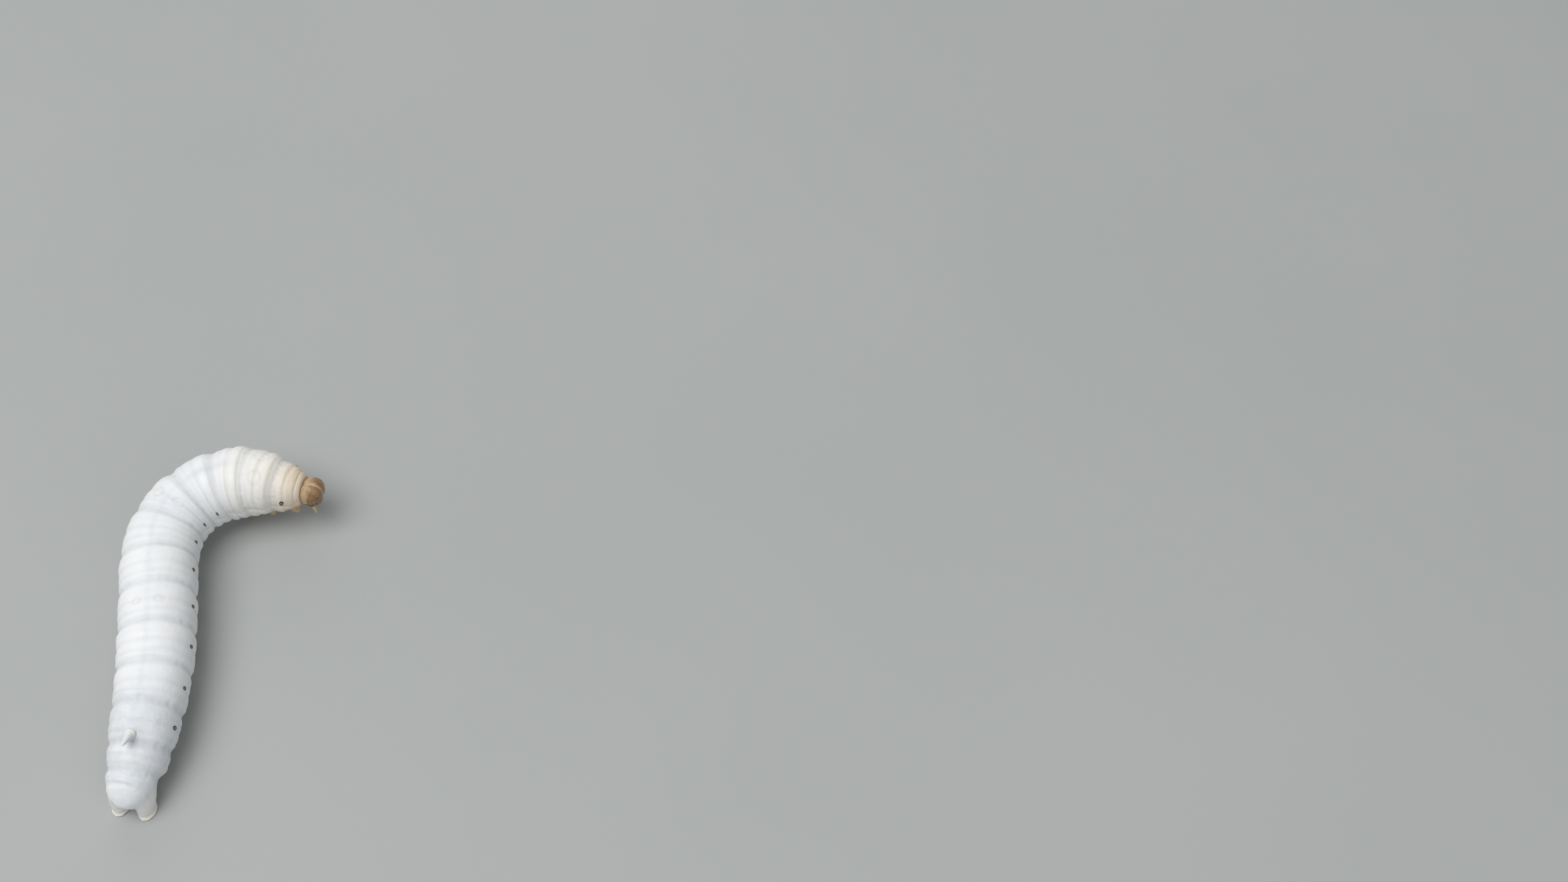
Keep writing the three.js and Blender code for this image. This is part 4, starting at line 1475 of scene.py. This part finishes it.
@dataclass
class Hairs:
    """The sparse, short, fine hairs of the skin and head, each of a few rings of three points."""

    head: Head
    skin: Skin
    box: tuple[Array, Array]
    seed: int = 23
    rings: int = 5
    sides: int = 3
    lean: float = 0.55
    curve: float = 0.3
    taper: float = 0.85
    off_square: tuple[float, float, float] = (0.013, 0.007, 0.011)
    patch_size: float = 0.0015

    def skin_roots(self, rng: np.random.Generator, count: int = 1100, thick: float = 0.008) -> list[Array]:
        """Draws roots over the body, denser on the thorax, flanks and tail, with none on the feet.

        Args:
            rng: The seeded source.
            count: How many.
            thick: Radius at the root.

        Returns:
            Roots, outward directions, lie, lengths, radii and unwrapped places (n, 2).
        """
        spine, drawn = self.skin.body.spine, count * 3
        s = rng.uniform(spine.head_length + 0.3, spine.end - 0.4, drawn)
        a = rng.uniform(-1.3, math.pi + 1.3, drawn)
        flank = bump(elevation(a) + 0.45, 0.4)
        ends = 1 - smoothstep((s - spine.starts[0]) / 12) + smoothstep((s - spine.starts[10]) / 8)
        keep = rng.uniform(0, 1, drawn) < 0.3 + 0.7 * np.maximum(flank, ends)
        for foot in self.skin.feet():
            front, rear, less, more = foot.block()
            keep &= ~((s > front) & (s < rear) & (np.mod(a - less, TAU) < more - less))
        s, a, ends = (v[keep][:count] for v in (s, a, ends))
        root, out = self.skin.cover(s, a, -0.02), self.skin.body.normal(s, a)
        length = rng.uniform(0.22, 0.48, len(s)) * (0.7 + 0.5 * ends)
        place = np.stack([s / spine.end, np.mod(a, TAU) / TAU], -1)
        return [root, out, -spine.axes(s)[0], length, np.full(len(s), thick), place]

    def head_roots(self, rng: np.random.Generator, count: int = 130, thick: float = 0.009) -> list[Array]:
        """Draws roots over the head's lobes.

        Args:
            rng: The seeded source.
            count: How many.
            thick: Radius at the root.

        Returns:
            Roots, outward directions, lie, lengths, radii and unwrapped places (n, 2).
        """
        turn = np.radians(rng.uniform(-60, 95, count))
        side = rng.uniform(0.12, 1.3, count) * rng.choice([-1, 1], count)
        root = self.head.capsule(turn, side, -0.01)
        out = unit(root - self.head.centre)
        lie = np.broadcast_to(-self.head.crown * 0.6 + self.head.face * 0.2, out.shape)
        place = np.stack([np.full(count, 0.02), 0.5 + side / TAU], -1)
        return [root, out, lie, rng.uniform(0.18, 0.38, count), np.full(count, thick), place]

    def build(self, wardrobe: Wardrobe) -> None:
        """Makes all hairs in one mesh, each with a tiny patch of its own in the map.

        Each is a thin cone whose middle line is root + length * (out * u * (1 - curve * u) + lie * lean * u^2)
        for u from 0 to 1. Those that would leave the solids' box are left out.

        Args:
            wardrobe: The finishes.
        """
        rng = np.random.default_rng(self.seed)
        groups = zip(self.skin_roots(rng), self.head_roots(rng))
        root, out, lie, length, thick, place = (np.concatenate(pair) for pair in groups)
        u = np.linspace(0, 1, self.rings)[:, None]
        bend = out[:, None] * u * (1 - self.curve * u) + lie[:, None] * self.lean * u * u
        line = root[:, None] + length[:, None, None] * bend
        one = unit(np.cross(out, lie + self.off_square))
        one, two = (v[:, None, None] for v in (one, unit(np.cross(out, one))))
        radius = thick[:, None, None] * (1 - self.taper * u)
        grid = tube(line[:, :, None], one, two, radius, radius, around(self.sides))
        inside = ((grid > self.box[0]) & (grid < self.box[1])).all((1, 2, 3))
        grid, place = grid[inside], place[inside]
        share = np.broadcast_to(u, grid.shape[:3])
        patch = np.stack([share, np.broadcast_to(np.arange(self.sides) / 2, share.shape)], -1)
        uv = (place[:, None, None] + self.patch_size * patch).reshape(-1, 2)
        i, j = (v.ravel() for v in np.meshgrid(np.arange(self.rings - 1), np.arange(self.sides), indexing="ij"))
        a, b, c, d = quads(i, j, self.sides).T
        last = (self.rings - 1) * self.sides
        ends = [[0, 2, 1], [last, last + 1, last + 2]]
        hair = np.concatenate([np.stack([a, b, c], -1), np.stack([a, c, d], -1), ends])
        starts = np.arange(len(grid)) * self.rings * self.sides
        faces = (starts[:, None, None] + hair).reshape(-1, 3)
        obj = put_mesh("fine_hairs", grid.reshape(-1, 3), faces)
        set_attribute(obj, "dark", 0.5 * (1 - share))
        layer = obj.data.uv_layers.new(name="OFBake")
        index = np.empty(len(obj.data.loops), dtype=np.int32)
        obj.data.loops.foreach_get("vertex_index", index)
        layer.data.foreach_set("uv", uv[index].astype(np.float32).ravel())
        wardrobe.dress(obj, "hair")


@dataclass
class Room:
    """A plain pale floor, soft studio light, and the camera at the photograph's angle.

    The lamps are (name, place, size, power, tint), in metres and watts.
    """

    camera_place: tuple[float, float, float] = (78.481, -122.7055, 223.4)
    camera_tilt: float = 35.0
    lens: float = 42.0
    sensor: float = 36.0
    clip: tuple[float, float] = (0.01, 20.0)
    floor_size: float = 6.0
    floor_tones: tuple[Colour, Colour] = ((0.40, 0.415, 0.405), (0.43, 0.442, 0.434))
    lamps: tuple[tuple[str, Colour, float, float, Colour], ...] = (
        ("key", (-0.25, -0.15, 0.85), 0.7, 6.3, (1.0, 0.995, 0.985)),
        ("fill", (0.75, -0.55, 0.55), 0.9, 1.1, (0.95, 0.97, 1.0)),
        ("back", (-0.2, 0.9, 0.5), 0.8, 1.6, (1.0, 1.0, 1.0)),
    )
    sky: Colour = (0.93, 0.96, 1.0)
    sky_strength: float = 0.33

    def build(self) -> None:
        """Makes the floor, lights, background and camera."""
        self.floor()
        for lamp in self.lamps:
            self.light(*lamp)
        scene = bpy.context.scene
        scene.world = bpy.data.worlds.new("soft_room")
        scene.world.use_nodes = True
        background = scene.world.node_tree.nodes["Background"]
        background.inputs["Color"].default_value = (*self.sky, 1)
        background.inputs["Strength"].default_value = self.sky_strength
        scene.view_settings.view_transform = "Standard"
        scene.view_settings.look = "None"
        scene.view_settings.exposure = 0.0
        data = bpy.data.cameras.new("camera")
        data.lens, data.sensor_width = self.lens, self.sensor
        data.clip_start, data.clip_end = self.clip
        place = [x * MM for x in self.camera_place]
        scene.camera = self.put(data, place, (math.radians(self.camera_tilt), 0, 0))

    def put(self, data: bpy.types.ID, place: Sequence[float], turn: Sequence[float]) -> Object:
        """Places a lamp or camera in the scene.

        Args:
            data: The lamp or camera.
            place: Where it stands, in metres.
            turn: Its three turns, in radians.

        Returns:
            Its object.
        """
        obj = bpy.data.objects.new(data.name, data)
        obj.location, obj.rotation_euler = place, turn
        bpy.context.collection.objects.link(obj)
        return obj

    def floor(self) -> None:
        """Makes the floor: a level square with a faint tone in its material."""
        half = self.floor_size / 2 / MM
        points = np.array([[-half, -half, 0], [half, -half, 0], [half, half, 0], [-half, half, 0]])
        obj = put_mesh("floor", points, np.array([[0, 1, 2, 3]]), smooth=False)
        material = bpy.data.materials.new("pale floor")
        material.use_nodes = True
        t = Tree(material.node_tree)
        colour = t.mix(t.ramp(t.noise(6.0, 3.0), 0.3, 0.7), *self.floor_tones)
        gloss = {"Base Color": colour, "Roughness": 0.85, "Specular IOR Level": 0.2}
        t.feed(material.node_tree.nodes["Principled BSDF"], gloss)
        obj.data.materials.append(material)
        obj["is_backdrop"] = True

    def light(self, name: str, place: Sequence[float], size: float, power: float, tint: Colour) -> None:
        """Adds a soft square light that faces the animal.

        Args:
            name: Its name.
            place: Where it stands, in metres.
            size: Its side, in metres.
            power: Its power, in watts.
            tint: Its colour.
        """
        data = bpy.data.lights.new(name, "AREA")
        data.size, data.energy, data.color = size, power, tint
        x, y, z = place
        self.put(data, place, (math.atan2(math.hypot(x, y), z), 0, math.atan2(-y, -x) - math.pi / 2))


def main() -> None:
    """Builds the animal and its room in order."""
    logging.basicConfig(level=logging.INFO, format="%(name)s: %(message)s")
    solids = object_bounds()
    body, wardrobe = BodyForm(Spine()), Wardrobe()
    skin, head = Skin(body), Head(body)
    skin.build(wardrobe)
    Spiracles(skin).build(wardrobe)
    ThoracicLegs(body).build(wardrobe)
    Horn(skin).build(wardrobe)
    head.build(wardrobe)
    Hairs(head, skin, (np.array(solids[0]) / MM, np.array(solids[1]) / MM)).build(wardrobe)
    Room().build()


if __name__ == "__main__":
    main()
